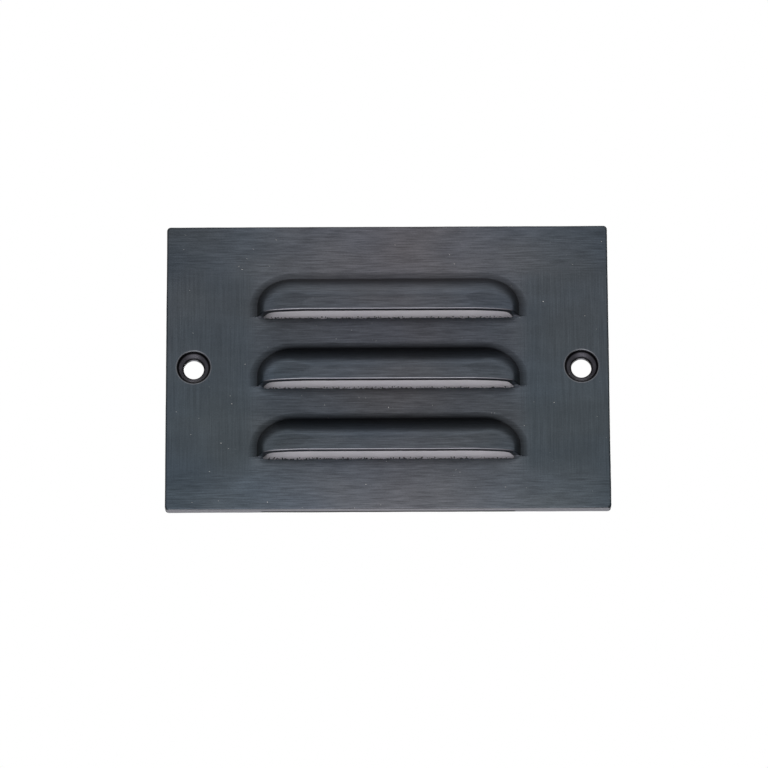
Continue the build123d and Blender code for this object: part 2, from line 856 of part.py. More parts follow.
with BuildPart() as gland_body:
    with BuildSketch(front_plane(gland_front)):
        with Locations(gland_centre):
            Circle(gland_thread_dia / 2)
    extrude(amount=-(gland_end - gland_front))
    with BuildSketch(front_plane(gland_hex_front)):
        with Locations(gland_centre):
            RegularPolygon(gland_hex / 2, 6, major_radius=False)
    extrude(amount=-gland_hex_thick)
    with BuildSketch(front_plane(gland_front)):
        with Locations(gland_centre):
            Circle(gland_bore / 2)
    extrude(amount=-(gland_end - gland_front), mode=Mode.SUBTRACT)
    with BuildSketch(front_plane(seal_front)):
        with Locations(gland_centre):
            Circle(gland_seal_outer / 2 + screw_play)
    extrude(amount=-gland_seal_length, mode=Mode.SUBTRACT)
save(gland_body, "gland_body")

with BuildPart() as gland_washer:
    with BuildSketch(front_plane(hub_back)):
        with Locations(gland_centre):
            Circle(gland_hex / 2 + gland_washer_margin)
            Circle(gland_thread_dia / 2 + gland_play, mode=Mode.SUBTRACT)
    extrude(amount=-gland_washer_thick)
save(gland_washer, "gland_washer")

with BuildPart() as gland_locknut:
    with BuildSketch(front_plane(floor_depth - gland_locknut_thick)):
        with Locations(gland_centre):
            RegularPolygon(gland_hex / 2, 6, major_radius=False)
            Circle(gland_thread_dia / 2 + screw_play, mode=Mode.SUBTRACT)
    extrude(amount=-gland_locknut_thick)
save(gland_locknut, "gland_locknut")

with BuildPart() as gland_seal:
    with BuildSketch(front_plane(seal_front)):
        with Locations(gland_centre):
            Circle(gland_seal_outer / 2)
            Circle(gland_seal_bore / 2, mode=Mode.SUBTRACT)
    extrude(amount=-gland_seal_length)
save(gland_seal, "gland_seal")

with BuildPart() as gland_nut:
    with BuildSketch(front_plane(nut_front)):
        with Locations(gland_centre):
            RegularPolygon(gland_hex / 2, 6, major_radius=False)
    extrude(amount=-nut_hex_length)
    with BuildSketch(front_plane(nut_front + nut_hex_length)):
        with Locations(gland_centre):
            Circle(gland_hex / 2)
    extrude(amount=nut_hex_length - gland_nut_length)
    nut_bevel = gland_nut_length * gland_nut_bevel_share
    chamfer(gland_nut.faces().sort_by(Axis.Y)[-1].edges(), nut_bevel)
    with BuildSketch(front_plane(nut_front)):
        with Locations(gland_centre):
            Circle(gland_thread_dia / 2 + screw_play)
    extrude(amount=-(gland_nut_length - gland_nut_wall), mode=Mode.SUBTRACT)
    with BuildSketch(front_plane(nut_front)):
        with Locations(gland_centre):
            Circle(gland_bore / 2)
    extrude(amount=-gland_nut_length, mode=Mode.SUBTRACT)
save(gland_nut, "gland_nut")
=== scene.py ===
import math

import bmesh
import bpy
import numpy as np
from mathutils import Matrix, Vector, noise


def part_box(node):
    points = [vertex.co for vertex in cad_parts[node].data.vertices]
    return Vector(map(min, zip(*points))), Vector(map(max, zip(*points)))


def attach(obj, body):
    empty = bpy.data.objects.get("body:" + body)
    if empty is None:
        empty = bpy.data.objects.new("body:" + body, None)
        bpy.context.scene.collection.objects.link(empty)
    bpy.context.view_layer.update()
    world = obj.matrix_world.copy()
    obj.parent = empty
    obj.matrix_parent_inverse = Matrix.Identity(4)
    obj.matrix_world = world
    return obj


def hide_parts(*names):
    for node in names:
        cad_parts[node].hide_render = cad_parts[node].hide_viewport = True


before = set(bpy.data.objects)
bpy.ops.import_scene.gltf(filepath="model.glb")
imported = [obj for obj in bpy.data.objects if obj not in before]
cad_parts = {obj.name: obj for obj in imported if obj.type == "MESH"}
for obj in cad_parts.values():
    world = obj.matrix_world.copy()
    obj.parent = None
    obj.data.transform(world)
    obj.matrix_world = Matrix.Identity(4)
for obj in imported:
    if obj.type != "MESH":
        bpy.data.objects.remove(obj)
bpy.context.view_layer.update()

# Louvred step light. Sizes are in millimetres and turn to metres where a mesh is made.
# X runs to the right, Z up, and Y into the wall. The plate's back lies at Y = 0.
MM = 0.001

# ---------------------------------------------------------------- sizes of the cast plate

PLATE_LOW, PLATE_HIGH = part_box("face_plate")
PLATE_WIDTH = (PLATE_HIGH.x - PLATE_LOW.x) / MM
PLATE_HEIGHT = (PLATE_HIGH.z - PLATE_LOW.z) / MM
HOOD_REACH = 7.0
PLATE_THICK = -PLATE_LOW.y / MM - HOOD_REACH
PLATE_CORNER = 1.0
FRONT_ROUND = 0.5
BACK_ROUND = 0.25
EDGE_WEAR = 0.05

SLOT_EDGES = (-24.65, -5.75, 13.15)
SLOT_PITCH = 18.9
HOOD_WIDTH = 72.0
HOOD_HEIGHT = 12.4
HOOD_WALL = 2.0
HOOD_SIDE_WALL = 1.8
LIP_WALL = 1.6
HOOD_CORNER = 7.5
CROWN_CORNER = 5.0
TOP_FLARE = 1.6
SIDE_FLARE = 2.0
FLARE_REACH = 0.8
TOP_LEAN = math.radians(33)
TOP_BULGE = 1.9
TOP_CROWN = 0.8
SIDE_LEAN = math.radians(20)
SIDE_CROWN = 9.3
LIP_ROUND = 0.36
# the hoods aren't quite even: how far each lip stands over its slot's edge, from the lowest hood up,
# and how far all three stand to the right
LIP_RISES = (0.45, 0.4, 0.26)
HOOD_SHIFT = 0.22
# how deep a hood starts in the plate
HOOD_ROOT = 0.8
MOUTH_CLEAR = 1.0
SLOT_WIDTH = HOOD_WIDTH - 2 * (SIDE_FLARE + HOOD_SIDE_WALL)
SLOT_HEIGHT = HOOD_HEIGHT - TOP_FLARE - HOOD_WALL / math.cos(TOP_LEAN)
SLOT_CORNER = 5.7
SLOT_TURNS = 12
SLOT_RAG = 0.3
RAG_POINTS = 420
# a hood's corners are this many times as wide as high, and take at most this share of its height
CORNER_STRETCH = 1.3
CORNER_SHARE = 0.8

SCREW_X = 50.0
SINK_RADIUS = 4.3
SINK_RIM = 0.3
HOLE_RADIUS = 2.6

# rim round the lens and bosses, on the plate's back
RIM_SIZE = (76.8, 61.7, 4.9)
RIM_WALL = 2.0
RIM_DEEP = 4.4
BOSS_RADIUS = 3.2
BOSS_X = 39.6
BOSS_Z = 20.0
BOSS_BACK = 5.0

# ---------------------------------------------------------------- sizes behind the plate

FLANGE_BACK = 7.5
FLANGE_ROUND = 0.45
BOX_BACK = 45.0
BOX_FLOOR = 42.5
BOX_FRONT_SIZE = (69.2, 54.1)
BOX_BACK_SIZE = (64.8, 46.1)
BOX_CORNER = 5.0
BOX_WALL = 2.0
BOX_FILLET = 1.2
BOX_BACK_ROUND = 2.0
POST_X = 16.9
POST_Z = 11.0
POST_RADIUS = 3.25
POST_FRONT = 28.0
POST_ROOT = 0.8
POST_HOLE_RADIUS = 1.55
LUG_HOLE_RADIUS = 1.7
GLAND_Z = 4.0
HUB_RADIUS = 9.5
HUB_BACK = 46.5
HUB_ROUND = 0.35
THREAD_RADIUS = 6.1
FIXING_SCREW = (19.0, -11.5)
FIXING_HOLE_RADIUS = 1.15

NUT_FRONT = 52.0
NUT_FLATS = 7.5
NUT_HEX_END = 57.7
NUT_END = 61.5
NUT_BORE = 3.5
NUT_THREAD_DEEP = 7.9
DOME_START = 1.4
DOME_END_RADIUS = 4.8
GRIP_RIBS = 30
RIB_RADIUS = 0.36
RIB_LENGTH = 1.9

HEAD_RADIUS = 2.85
HEAD_HEIGHT = 1.95
HEAD_EDGE = 0.75
HEAD_FLAT = 0.9
RECESS_HALF = 0.24
SHANK_RADIUS = 1.5
SHANK_END = 0.5
TAPPING_RADIUS = SHANK_RADIUS + 0.05
TAPPING_DEEP = 0.8

# ---------------------------------------------------------------- mesh helpers


def mesh_piece(name, points, faces):
    """A mesh object from points in millimetres, with its faces turned outwards."""
    mesh = bpy.data.meshes.new(name)
    mesh.from_pydata([(x * MM, y * MM, z * MM) for x, y, z in points], [], faces)
    work = bmesh.new()
    work.from_mesh(mesh)
    bmesh.ops.remove_doubles(work, verts=work.verts, dist=1e-7)
    bmesh.ops.recalc_face_normals(work, faces=work.faces)
    work.to_mesh(mesh)
    work.free()
    made = bpy.data.objects.new(name, mesh)
    bpy.context.scene.collection.objects.link(made)
    return made


def rings_solid(name, rings):
    """A closed solid through closed rings of points, with a flat face at each end."""
    count = len(rings[0])
    points = [point for ring in rings for point in ring]
    faces = [tuple(range(count)), tuple(range(len(points) - count, len(points)))]
    for row in range(len(rings) - 1):
        for i in range(count):
            a, b = row * count + i, row * count + (i + 1) % count
            faces.append((a, b, b + count, a + count))
    return mesh_piece(name, points, faces)


def arch_solid(name, rings):
    """A closed solid through arches: each runs from lower left, over the top, to lower right."""
    count = len(rings[0])
    points = [point for ring in rings for point in ring]
    faces = []
    for row in range(len(rings) - 1):
        start = row * count
        for i in range(count - 1):
            a = start + i
            faces.append((a, a + 1, a + 1 + count, a + count))
        faces.append((start, start + count, start + 2 * count - 1, start + count - 1))
    for start in (0, len(points) - count):
        for i in range(count // 2 - 1):
            far = start + count - 1 - i
            faces.append((start + i, start + i + 1, far - 1, far))
    return mesh_piece(name, points, faces)


def rounded_rectangle(width, height, corner, step=None, turns=8):
    """Points round a rectangle with round corners, and along its sides where a step is given."""
    points = []
    for corner_x, corner_z, start in ((1, 1, 0), (-1, 1, 90), (-1, -1, 180), (1, -1, 270)):
        for i in range(turns + 1):
            angle = math.radians(start + 90 * i / turns)
            x = corner_x * (width / 2 - corner) + corner * math.cos(angle)
            z = corner_z * (height / 2 - corner) + corner * math.sin(angle)
            points.append((x, z))
    if step is None:
        return points
    filled = []
    for here, after in zip(points, points[1:] + points[:1]):
        parts = max(1, round(math.dist(here, after) / step))
        for i in range(parts):
            share = i / parts
            filled.append((here[0] + (after[0] - here[0]) * share, here[1] + (after[1] - here[1]) * share))
    return filled


def round_turned(name, centre, profile, turns=48):
    """A solid turned about a line along Y through centre, from (depth, radius) pairs."""
    rings = []
    for depth, radius in profile:
        rings.append([(centre[0] + radius * math.cos(math.tau * i / turns), depth,
                       centre[1] + radius * math.sin(math.tau * i / turns)) for i in range(turns)])
    return rings_solid(name, rings)


def eased(start, end, radius, steps=4):
    """(depth, inset) pairs from start to end, with the edge at the end rounded."""
    way = 1 if end > start else -1
    pairs = [(start, 0.0)]
    for i in range(steps + 1):
        angle = math.pi / 2 * i / steps
        pairs.append((end - way * radius * (1 - math.sin(angle)), radius * (1 - math.cos(angle))))
    return pairs


def boolean(target, operation, others):
    """Joins the other solids to the target, or cuts them from it, and removes them."""
    group = bpy.data.collections.new("operands")
    bpy.context.scene.collection.children.link(group)
    for other in others:
        group.objects.link(other)
    step = target.modifiers.new("boolean", "BOOLEAN")
    step.operation = operation
    step.solver = "EXACT"
    step.operand_type = "COLLECTION"
    step.collection = group
    apply_modifiers(target)
    for other in others:
        bpy.data.objects.remove(other)
    bpy.data.collections.remove(group)
    return target


def apply_modifiers(piece):
    """Makes the piece's modified shape its plain mesh."""
    bpy.context.view_layer.update()
    evaluated = piece.evaluated_get(bpy.context.evaluated_depsgraph_get())
    mesh = bpy.data.meshes.new_from_object(evaluated)
    piece.modifiers.clear()
    piece.data = mesh


def shade(piece, angle):
    """Smooth shading, with edges sharper than the angle kept sharp."""
    piece.data.shade_smooth()
    piece.data.set_sharp_from_angle(angle=math.radians(angle))
    weighted = piece.modifiers.new("weighted", "WEIGHTED_NORMAL")
    weighted.keep_sharp = True
    weighted.mode = "FACE_AREA"
    apply_modifiers(piece)


def dress(piece, body, material, slot, *nodes):
    """Gives a piece its material and body, and hides the nodes that it stands for. The slot is not used."""
    piece.data.materials.clear()
    piece.data.materials.append(material)
    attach(piece, body)
    if nodes:
        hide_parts(*nodes)
    return piece


# ---------------------------------------------------------------- node helpers

# the nodes used most, and the settings that several of them share
MATH = "ShaderNodeMath"
RANGE = "ShaderNodeMapRange"
MIX = "ShaderNodeMix"
RAMP = "ShaderNodeValToRGB"
VECTOR = "ShaderNodeCombineXYZ"
RANDOM = "FunctionNodeRandomValue"
MOVE = "GeometryNodeTransform"
SMOOTH = {"interpolation_type": "SMOOTHSTEP"}
RGBA = {"data_type": "RGBA"}
TIMES = {"data_type": "RGBA", "blend_type": "MULTIPLY"}


def add(tree, kind, inputs=None, stops=None, **settings):
    """Adds a node with its settings and inputs. A node given as an input passes its first output in use."""
    made = tree.nodes.new(kind)
    for name, value in settings.items():
        setattr(made, name, value)
    for name, value in (inputs or {}).items():
        if isinstance(value, bpy.types.Node):
            value = next(output for output in value.outputs if output.enabled)
        if isinstance(value, bpy.types.NodeSocket):
            tree.links.new(value, made.inputs[name])
        else:
            made.inputs[name].default_value = value
    if stops:
        elements = made.color_ramp.elements
        while len(elements) < len(stops):
            elements.new(0.5)
        for element, (place, value) in zip(elements, stops):
            element.position = place
            element.color = value
    return made


def colour(code):
    """An sRGB hex colour as linear RGBA."""
    shares = [int(code[i:i + 2], 16) / 255 for i in (1, 3, 5)]
    linear = [c / 12.92 if c <= 0.04045 else ((c + 0.055) / 1.055) ** 2.4 for c in shares]
    return (*linear, 1.0)


def start_material(name):
    made = bpy.data.materials.new(name)
    made.use_nodes = True
    made.node_tree.nodes.clear()
    return made, made.node_tree


def end_material(tree, inputs, height=None, depth=0.0):
    """The surface. A height pattern, if there is one, becomes bump of that depth in mm."""
    if height is not None:
        bump = add(tree, "ShaderNodeBump", {"Height": height, "Distance": depth * MM, "Strength": 1.0})
        inputs = dict(inputs, Normal=bump)
    shader = add(tree, "ShaderNodeBsdfPrincipled", inputs)
    add(tree, "ShaderNodeOutputMaterial", {"Surface": shader})


def grain(tree, size, stretch=(1, 1, 1), detail=3.0, roughness=0.55, shift=(0, 0, 0)):
    """A noise pattern on the object whose features are about size mm, longer along stretched axes."""
    place = add(tree, "ShaderNodeTexCoord").outputs["Object"]
    scale = [1 / (size * MM * along) for along in stretch]
    mapped = add(tree, "ShaderNodeMapping", {"Vector": place, "Location": shift, "Scale": scale})
    return add(tree, "ShaderNodeTexNoise",
               {"Vector": mapped, "Scale": 1.0, "Detail": detail, "Roughness": roughness})


def finish(name, light, dark, patch, rough, spread, fine_size, depth, stretch=(1, 1, 1), **surface):
    """A plain finish: two close colours in patches, and a fine pattern in its roughness and height.

    patch and fine_size are sizes in mm, and depth is the fine pattern's height in mm. The roughness
    strays from rough by up to spread."""
    made, tree = start_material(name)
    patches = add(tree, RANGE, {0: grain(tree, patch, stretch), 1: 0.3, 2: 0.7})
    fine = grain(tree, fine_size, stretch, detail=4.0, shift=(3, 5, 7))
    base = add(tree, MIX, {0: patches, 6: colour(light), 7: colour(dark)}, **RGBA)
    uneven = add(tree, RANGE, {0: fine, 1: 0.25, 2: 0.75, 3: rough - spread, 4: rough + spread})
    inputs = {"Base Color": base, "Roughness": uneven}
    inputs.update(surface)
    end_material(tree, inputs, fine, depth)
    return made


def start_geometry(name, **sizes):
    """A geometry tree whose named inputs have the given values as defaults."""
    tree = bpy.data.node_groups.new(name, "GeometryNodeTree")
    tree.interface.new_socket("Geometry", in_out="INPUT", socket_type="NodeSocketGeometry")
    for label, value in sizes.items():
        kind = "Int" if isinstance(value, int) else "Float"
        made = tree.interface.new_socket(label, in_out="INPUT", socket_type=f"NodeSocket{kind}")
        made.default_value = value
    tree.interface.new_socket("Material", in_out="INPUT", socket_type="NodeSocketMaterial")
    tree.interface.new_socket("Geometry", in_out="OUTPUT", socket_type="NodeSocketGeometry")
    return tree, add(tree, "NodeGroupInput").outputs


def end_geometry(tree, given, shape):
    """Real faces, with their material, as the tree's result."""
    real = add(tree, "GeometryNodeRealizeInstances", {"Geometry": shape})
    dressed = add(tree, "GeometryNodeSetMaterial", {"Geometry": real, "Material": given["Material"]})
    add(tree, "NodeGroupOutput", {"Geometry": dressed})


def run_geometry(piece, tree, **values):
    """Runs a geometry tree on a piece with the given inputs, and keeps the result as its mesh."""
    step = piece.modifiers.new(tree.name, "NODES")
    step.node_group = tree
    for item in tree.interface.items_tree:
        if item.in_out == "INPUT" and item.name in values:
            step[item.identifier] = values[item.name]
    apply_modifiers(piece)
    return piece


# ---------------------------------------------------------------- finishes


# painted light and shade on the hoods: what the patina's tone is multiplied by on their tops, faces and ends
HOOD_TOP_LIGHT = (1.46, 1.57, 1.62, 1)
HOOD_FACE_SHADE = (0.79, 0.82, 0.825, 1)
HOOD_END_LIGHT = (1.28, 1.35, 1.4, 1)
# the fields beside the hoods, brushed upright: where they start and are full sideways, and their
# middle, and where they end and are full upwards and downwards from it, all in mm
FIELD_START_X = 32.5
FIELD_FULL_X = 38.0
FIELD_MIDDLE_Z = -1.5
FIELD_END_Z = 30.0
FIELD_FULL_Z = 23.0
# the painted shade on the strips between the hoods ends and is full at these distances from the middle
STRIP_END_X = 37.0
STRIP_FULL_X = 29.0
# a painted highlight: the tone is palest here, a little right of the middle, and darkest this far from it
HIGHLIGHT_PEAK_X = 3.0
HIGHLIGHT_FADE_AWAY = 57.0


def brush_marks(tree, upright_share):
    """The brush's streaks, and the light that they add to the tone.

    They are about 0.3 mm wide, a little coarser than the real marks, so that they show."""
    level = grain(tree, 0.34, (17, 8, 1), 3.0, 0.6)
    upright = grain(tree, 0.36, (1, 8, 36), 2.0, 0.6, (4, 2, 8))
    streaks = add(tree, MIX, {0: upright_share, 2: level, 3: upright})
    contrast = add(tree, RANGE, {0: upright_share, 3: 0.46, 4: 0.18})
    shine = add(tree, MATH, {0: streaks, 1: 0.5}, operation="SUBTRACT")
    shine = add(tree, MATH, {0: shine, 1: contrast}, operation="MULTIPLY")
    return streaks, add(tree, MATH, {0: shine, 1: 2.5, 2: 1.0}, operation="MULTIPLY_ADD")


def patina_and_highlight_tone(tree, spot, upright_share, shine):
    """The patina's tone, with a painted highlight that fades from the middle to the ends, and its clouds,
    brush marks and grain.
    """
    # painted highlight: paler and warmer in the middle, darker towards the ends, as a light's reflection
    # falls off
    across = add(tree, MATH, {0: spot["X"], 1: HIGHLIGHT_PEAK_X * MM}, operation="SUBTRACT")
    across = add(tree, MATH, {0: across}, operation="ABSOLUTE")
    wear_and_highlight = add(tree, RANGE, {0: across, 1: 0.0, 2: HIGHLIGHT_FADE_AWAY * MM})
    tone = add(tree, RAMP, {0: wear_and_highlight}, stops=[(0.0, colour("#636267")), (0.35, colour("#606166")),
                                             (0.68, colour("#555a60")), (1.0, colour("#484e54"))])
    # painted shade: the fields brushed upright reflect less light, so they get a darker tone
    tone = add(tree, MIX, {0: upright_share, 6: tone, 7: colour("#4d5359")}, **RGBA)
    # clouds of brown and blue-grey, a thumb wide, and smaller ones in them
    broad = add(tree, RANGE, {0: grain(tree, 22, (1.5, 1, 1), 2.0, 0.5, (2, 1, 4)), 1: 0.35, 2: 0.65})
    clouds = add(tree, MIX, {0: broad, 6: colour("#b8bcc2"), 7: colour("#bebcbb")}, **RGBA)
    small = add(tree, RANGE, {0: grain(tree, 5, (2.5, 1, 1), 4.0, 0.6, (5, 2, 1)),
                              1: 0.3, 2: 0.7, 3: 0.92, 4: 1.08})
    # the casting's own grain, a quarter of a millimetre, under the brush marks
    skin = add(tree, RANGE, {0: grain(tree, 0.25, (1.6, 1, 1), 1.0, 0.6, (6, 3, 2)),
                             1: 0.3, 2: 0.7, 3: 0.93, 4: 1.07})
    lights = add(tree, MATH, {0: small, 1: shine}, operation="MULTIPLY")
    lights = add(tree, MATH, {0: lights, 1: skin}, operation="MULTIPLY")
    # the lower part has kept a little more of the blue
    cool = add(tree, RANGE, {0: spot["Z"], 1: 18 * MM, 2: -12 * MM, 3: 1.0, 4: 0.955})
    warmth = add(tree, MATH, {0: lights, 1: cool}, operation="MULTIPLY")
    lights = add(tree, "ShaderNodeCombineColor", {0: warmth, 1: lights, 2: lights})
    for layer in (clouds, lights):
        tone = add(tree, MIX, {0: 1.0, 6: tone, 7: layer}, **TIMES)
    return tone


def countersink_light_and_shade(tree, spot, to_middle, tone):
    """Painted light and shade in the countersinks: black painted shade on the wall and bore edge, a grey
    cone, and a thin pale painted highlight round them.
    """
    to_sink = add(tree, MATH, {0: to_middle, 1: SCREW_X * MM}, operation="SUBTRACT")
    away = add(tree, VECTOR, {0: to_sink, 2: spot["Z"]})
    away = add(tree, "ShaderNodeVectorMath", {0: away}, operation="LENGTH").outputs["Value"]
    inside = add(tree, RANGE, {0: away, 1: (SINK_RADIUS + 0.08) * MM, 2: (SINK_RADIUS - 0.02) * MM})
    below = add(tree, RANGE, {0: spot["Y"], 1: (0.05 - PLATE_THICK) * MM, 2: (0.12 - PLATE_THICK) * MM})
    sunk = add(tree, MATH, {0: inside, 1: below}, operation="MULTIPLY")
    # painted shade: black on the countersink's upright wall and the bore's edge, grey on the cone
    rings = add(tree, RAMP, {0: add(tree, RANGE, {0: away, 1: 0.0, 2: 5 * MM})},
                stops=[(0.0, colour("#1a1a1c")), (0.56, colour("#2b2a2d")), (0.62, colour("#75737a")),
                       (0.73, colour("#6d6b72")), (0.78, colour("#161618"))])
    tone = add(tree, MIX, {0: sunk, 6: tone, 7: rings}, **RGBA)
    # painted highlight: a thin pale rim round each countersink
    rim_highlight_in = add(tree, RANGE, {0: away, 1: (SINK_RADIUS - 0.02) * MM, 2: (SINK_RADIUS + 0.08) * MM})
    rim_highlight_out = add(tree, RANGE, {0: away, 1: (SINK_RADIUS + 0.34) * MM, 2: (SINK_RADIUS + 0.2) * MM})
    rim = add(tree, MATH, {0: rim_highlight_in, 1: rim_highlight_out}, operation="MULTIPLY")
    rim = add(tree, MATH, {0: rim, 1: 0.32}, operation="MULTIPLY")
    return add(tree, MIX, {0: rim, 6: tone, 7: colour("#98979d")}, **RGBA)


def hood_light_and_shade(tree, facing, proud):
    """Painted light and shade on the hoods: their leaning tops and ends are painted paler than their faces,
    by which way each faces.
    """
    level_face = add(tree, RANGE, {0: facing["Y"], 1: -0.9, 2: -0.99})
    facing_light = add(tree, MIX, {0: level_face, 6: HOOD_TOP_LIGHT, 7: HOOD_FACE_SHADE}, **RGBA)
    sideways = add(tree, MATH, {0: facing["X"]}, operation="ABSOLUTE")
    sideways = add(tree, RANGE, {0: sideways, 1: 0.02, 2: 0.5}, **SMOOTH)
    facing_light = add(tree, MIX, {0: sideways, 6: facing_light, 7: HOOD_END_LIGHT}, **RGBA)
    return add(tree, MIX, {0: proud, 6: (1, 1, 1, 1), 7: facing_light}, **RGBA)


def strip_shade(tree, spot, to_middle, at_foot):
    """How much light the strips between the hoods keep.

    They get painted shade, darker than the bands, and painted light just below the slots' edges."""
    lowest, highest = SLOT_EDGES[0], SLOT_EDGES[2]
    below_top = add(tree, RANGE, {0: spot["Z"], 1: (highest + 0.4) * MM, 2: (highest - 0.4) * MM})
    above_low = add(tree, RANGE, {0: spot["Z"], 1: (lowest - 0.4) * MM, 2: (lowest + 0.4) * MM})
    strip = add(tree, MATH, {0: below_top, 1: above_low}, operation="MULTIPLY")
    middle = add(tree, RANGE, {0: to_middle, 1: STRIP_END_X * MM, 2: STRIP_FULL_X * MM}, **SMOOTH)
    middle = add(tree, MATH, {0: middle, 1: at_foot}, operation="MULTIPLY")
    strip = add(tree, MATH, {0: strip, 1: middle}, operation="MULTIPLY")
    rise = add(tree, MATH, {0: spot["Z"], 1: lowest * MM}, operation="SUBTRACT")
    rise = add(tree, MATH, {0: rise, 1: SLOT_PITCH * MM}, operation="FLOORED_MODULO")
    # painted light just below the slots' edges
    edge_light = add(tree, RANGE, {0: rise, 1: (SLOT_PITCH - 3.2) * MM, 2: (SLOT_PITCH - 0.2) * MM})
    for mask in (middle, below_top):
        edge_light = add(tree, MATH, {0: edge_light, 1: mask}, operation="MULTIPLY")
    strip = add(tree, RANGE, {0: strip, 3: 1.0, 4: 0.75})
    return add(tree, MATH, {0: edge_light, 1: 0.45, 2: strip}, operation="MULTIPLY_ADD")


def patinated_gunmetal():
    """Gunmetal, sand cast, darkened with acid and brushed by hand.

    The brush leaves fine streaks, level on the bands and hoods and upright on the fields beside them.
    The middle is painted paler and warmer as a painted highlight, and the lips' lower edges get a painted
    highlight."""
    made, tree = start_material("patinated_gunmetal")
    place = add(tree, "ShaderNodeTexCoord").outputs["Object"]
    spot = add(tree, "ShaderNodeSeparateXYZ", {0: place}).outputs
    facing = add(tree, "ShaderNodeNewGeometry").outputs["Normal"]
    facing = add(tree, "ShaderNodeSeparateXYZ", {0: facing}).outputs
    to_middle = add(tree, MATH, {0: spot["X"]}, operation="ABSOLUTE")
    # the fields beside the hoods, where the brush ran upright
    side = add(tree, RANGE, {0: to_middle, 1: FIELD_START_X * MM, 2: FIELD_FULL_X * MM}, **SMOOTH)
    middle_z = add(tree, MATH, {0: spot["Z"], 1: -FIELD_MIDDLE_Z * MM}, operation="ADD")
    middle_z = add(tree, MATH, {0: middle_z}, operation="ABSOLUTE")
    between = add(tree, RANGE, {0: middle_z, 1: FIELD_END_Z * MM, 2: FIELD_FULL_Z * MM}, **SMOOTH)
    upright_share = add(tree, MATH, {0: side, 1: between}, operation="MULTIPLY")
    streaks, shine = brush_marks(tree, upright_share)
    tone = patina_and_highlight_tone(tree, spot, upright_share, shine)
    tone = countersink_light_and_shade(tree, spot, to_middle, tone)
    # dark skin of the casting under the hoods, and painted light on the downward faces at their feet's outer
    # corners
    half_slot = 0.5 * SLOT_WIDTH
    under = add(tree, RANGE, {0: facing["Z"], 1: -0.85, 2: -0.97})
    over_slot = add(tree, RANGE, {0: to_middle, 1: half_slot * MM, 2: (half_slot - 0.3) * MM})
    corner = add(tree, RANGE, {0: to_middle, 1: (half_slot + 0.1) * MM, 2: (half_slot + 0.6) * MM})
    corner = add(tree, MATH, {0: under, 1: corner}, operation="MULTIPLY")
    under = add(tree, MATH, {0: under, 1: over_slot}, operation="MULTIPLY")
    tone = add(tree, MIX, {0: under, 6: tone, 7: colour("#222226")}, **RGBA)
    # painted shade at the hoods' feet on their sides, where they face sideways
    at_foot = add(tree, RANGE, {0: spot["Y"], 1: -(PLATE_THICK + 1.6) * MM, 2: -(PLATE_THICK + 0.6) * MM})
    turned = add(tree, MATH, {0: facing["X"]}, operation="ABSOLUTE")
    turned = add(tree, RANGE, {0: turned, 1: 0.04, 2: 0.45}, **SMOOTH)
    turned = add(tree, MATH, {0: turned, 1: at_foot}, operation="MULTIPLY")
    turned = add(tree, RANGE, {0: turned, 3: 1.0, 4: 0.64})
    # painted light: the lower band is made paler
    lower = add(tree, RANGE, {0: spot["Z"], 1: -28 * MM, 2: -36 * MM, 3: 1.0, 4: 1.19})
    # painted light and shade: the strips' shade, the hoods' side shade and the lower band's light,
    # multiplied into the tone
    shade_share = strip_shade(tree, spot, to_middle, at_foot)
    for factor in (turned, lower):
        shade_share = add(tree, MATH, {0: shade_share, 1: factor}, operation="MULTIPLY")
    painted_light_and_shade = add(tree, "ShaderNodeCombineColor", {0: shade_share, 1: shade_share, 2: shade_share})
    proud = add(tree, RANGE, {0: spot["Y"], 1: -(PLATE_THICK + 2.0) * MM, 2: -(PLATE_THICK + 4.0) * MM})
    for layer in (painted_light_and_shade, hood_light_and_shade(tree, facing, proud)):
        tone = add(tree, MIX, {0: 1.0, 6: tone, 7: layer}, **TIMES)
    # painted highlight along the lips' lower edges, which face down into the light from below, and the front
    # half of the plate's lower edge, filed bare and painted paler as lit from below
    edge = add(tree, MATH, {0: facing["Y"], 1: facing["Z"]}, operation="MULTIPLY")
    edge = add(tree, RANGE, {0: edge, 1: 0.2, 2: 0.42}, **SMOOTH)
    lip_highlight = add(tree, MATH, {0: edge, 1: proud}, operation="MULTIPLY")
    half_height = 0.5 * PLATE_HEIGHT
    # the plate's lower edge: filed bare metal, and painted paler as lit from below
    filed_and_lit_edge = add(tree, RANGE, {0: spot["Z"], 1: (0.2 - half_height) * MM, 2: (0.06 - half_height) * MM})
    front_half = add(tree, RANGE, {0: spot["Y"], 1: -1.1 * MM, 2: -1.7 * MM})
    filed_and_lit_edge = add(tree, MATH, {0: filed_and_lit_edge, 1: front_half}, operation="MULTIPLY")
    corner = add(tree, MATH, {0: corner, 1: at_foot}, operation="MULTIPLY")
    # dark pits that the brush didn't reach, and a few grains of pale dust
    pits = add(tree, RANGE, {0: grain(tree, 0.6, (1.3, 1, 1), 1.0, 0.4, (9, 9, 1)), 1: 0.83, 2: 0.89})
    dust = add(tree, RANGE, {0: grain(tree, 0.42, (1, 1, 1), 0.0, 0.5, (1, 7, 3)), 1: 0.90, 2: 0.925})
    # the lips' edges, the plate's lower edge and the feet's corners get painted light here; the pits and
    # dust are the metal's own
    for mask, code in ((lip_highlight, "#7f7e84"), (filed_and_lit_edge, "#b8b7bd"), (corner, "#b4b3b9"),
                       (pits, "#323236"), (dust, "#a9a7a4")):
        tone = add(tree, MIX, {0: mask, 6: tone, 7: colour(code)}, **RGBA)
    rough = add(tree, RANGE, {0: streaks, 1: 0.3, 2: 0.7, 3: 0.45, 4: 0.4})
    rough = add(tree, MATH, {0: pits, 1: 0.3, 2: rough}, operation="MULTIPLY_ADD")
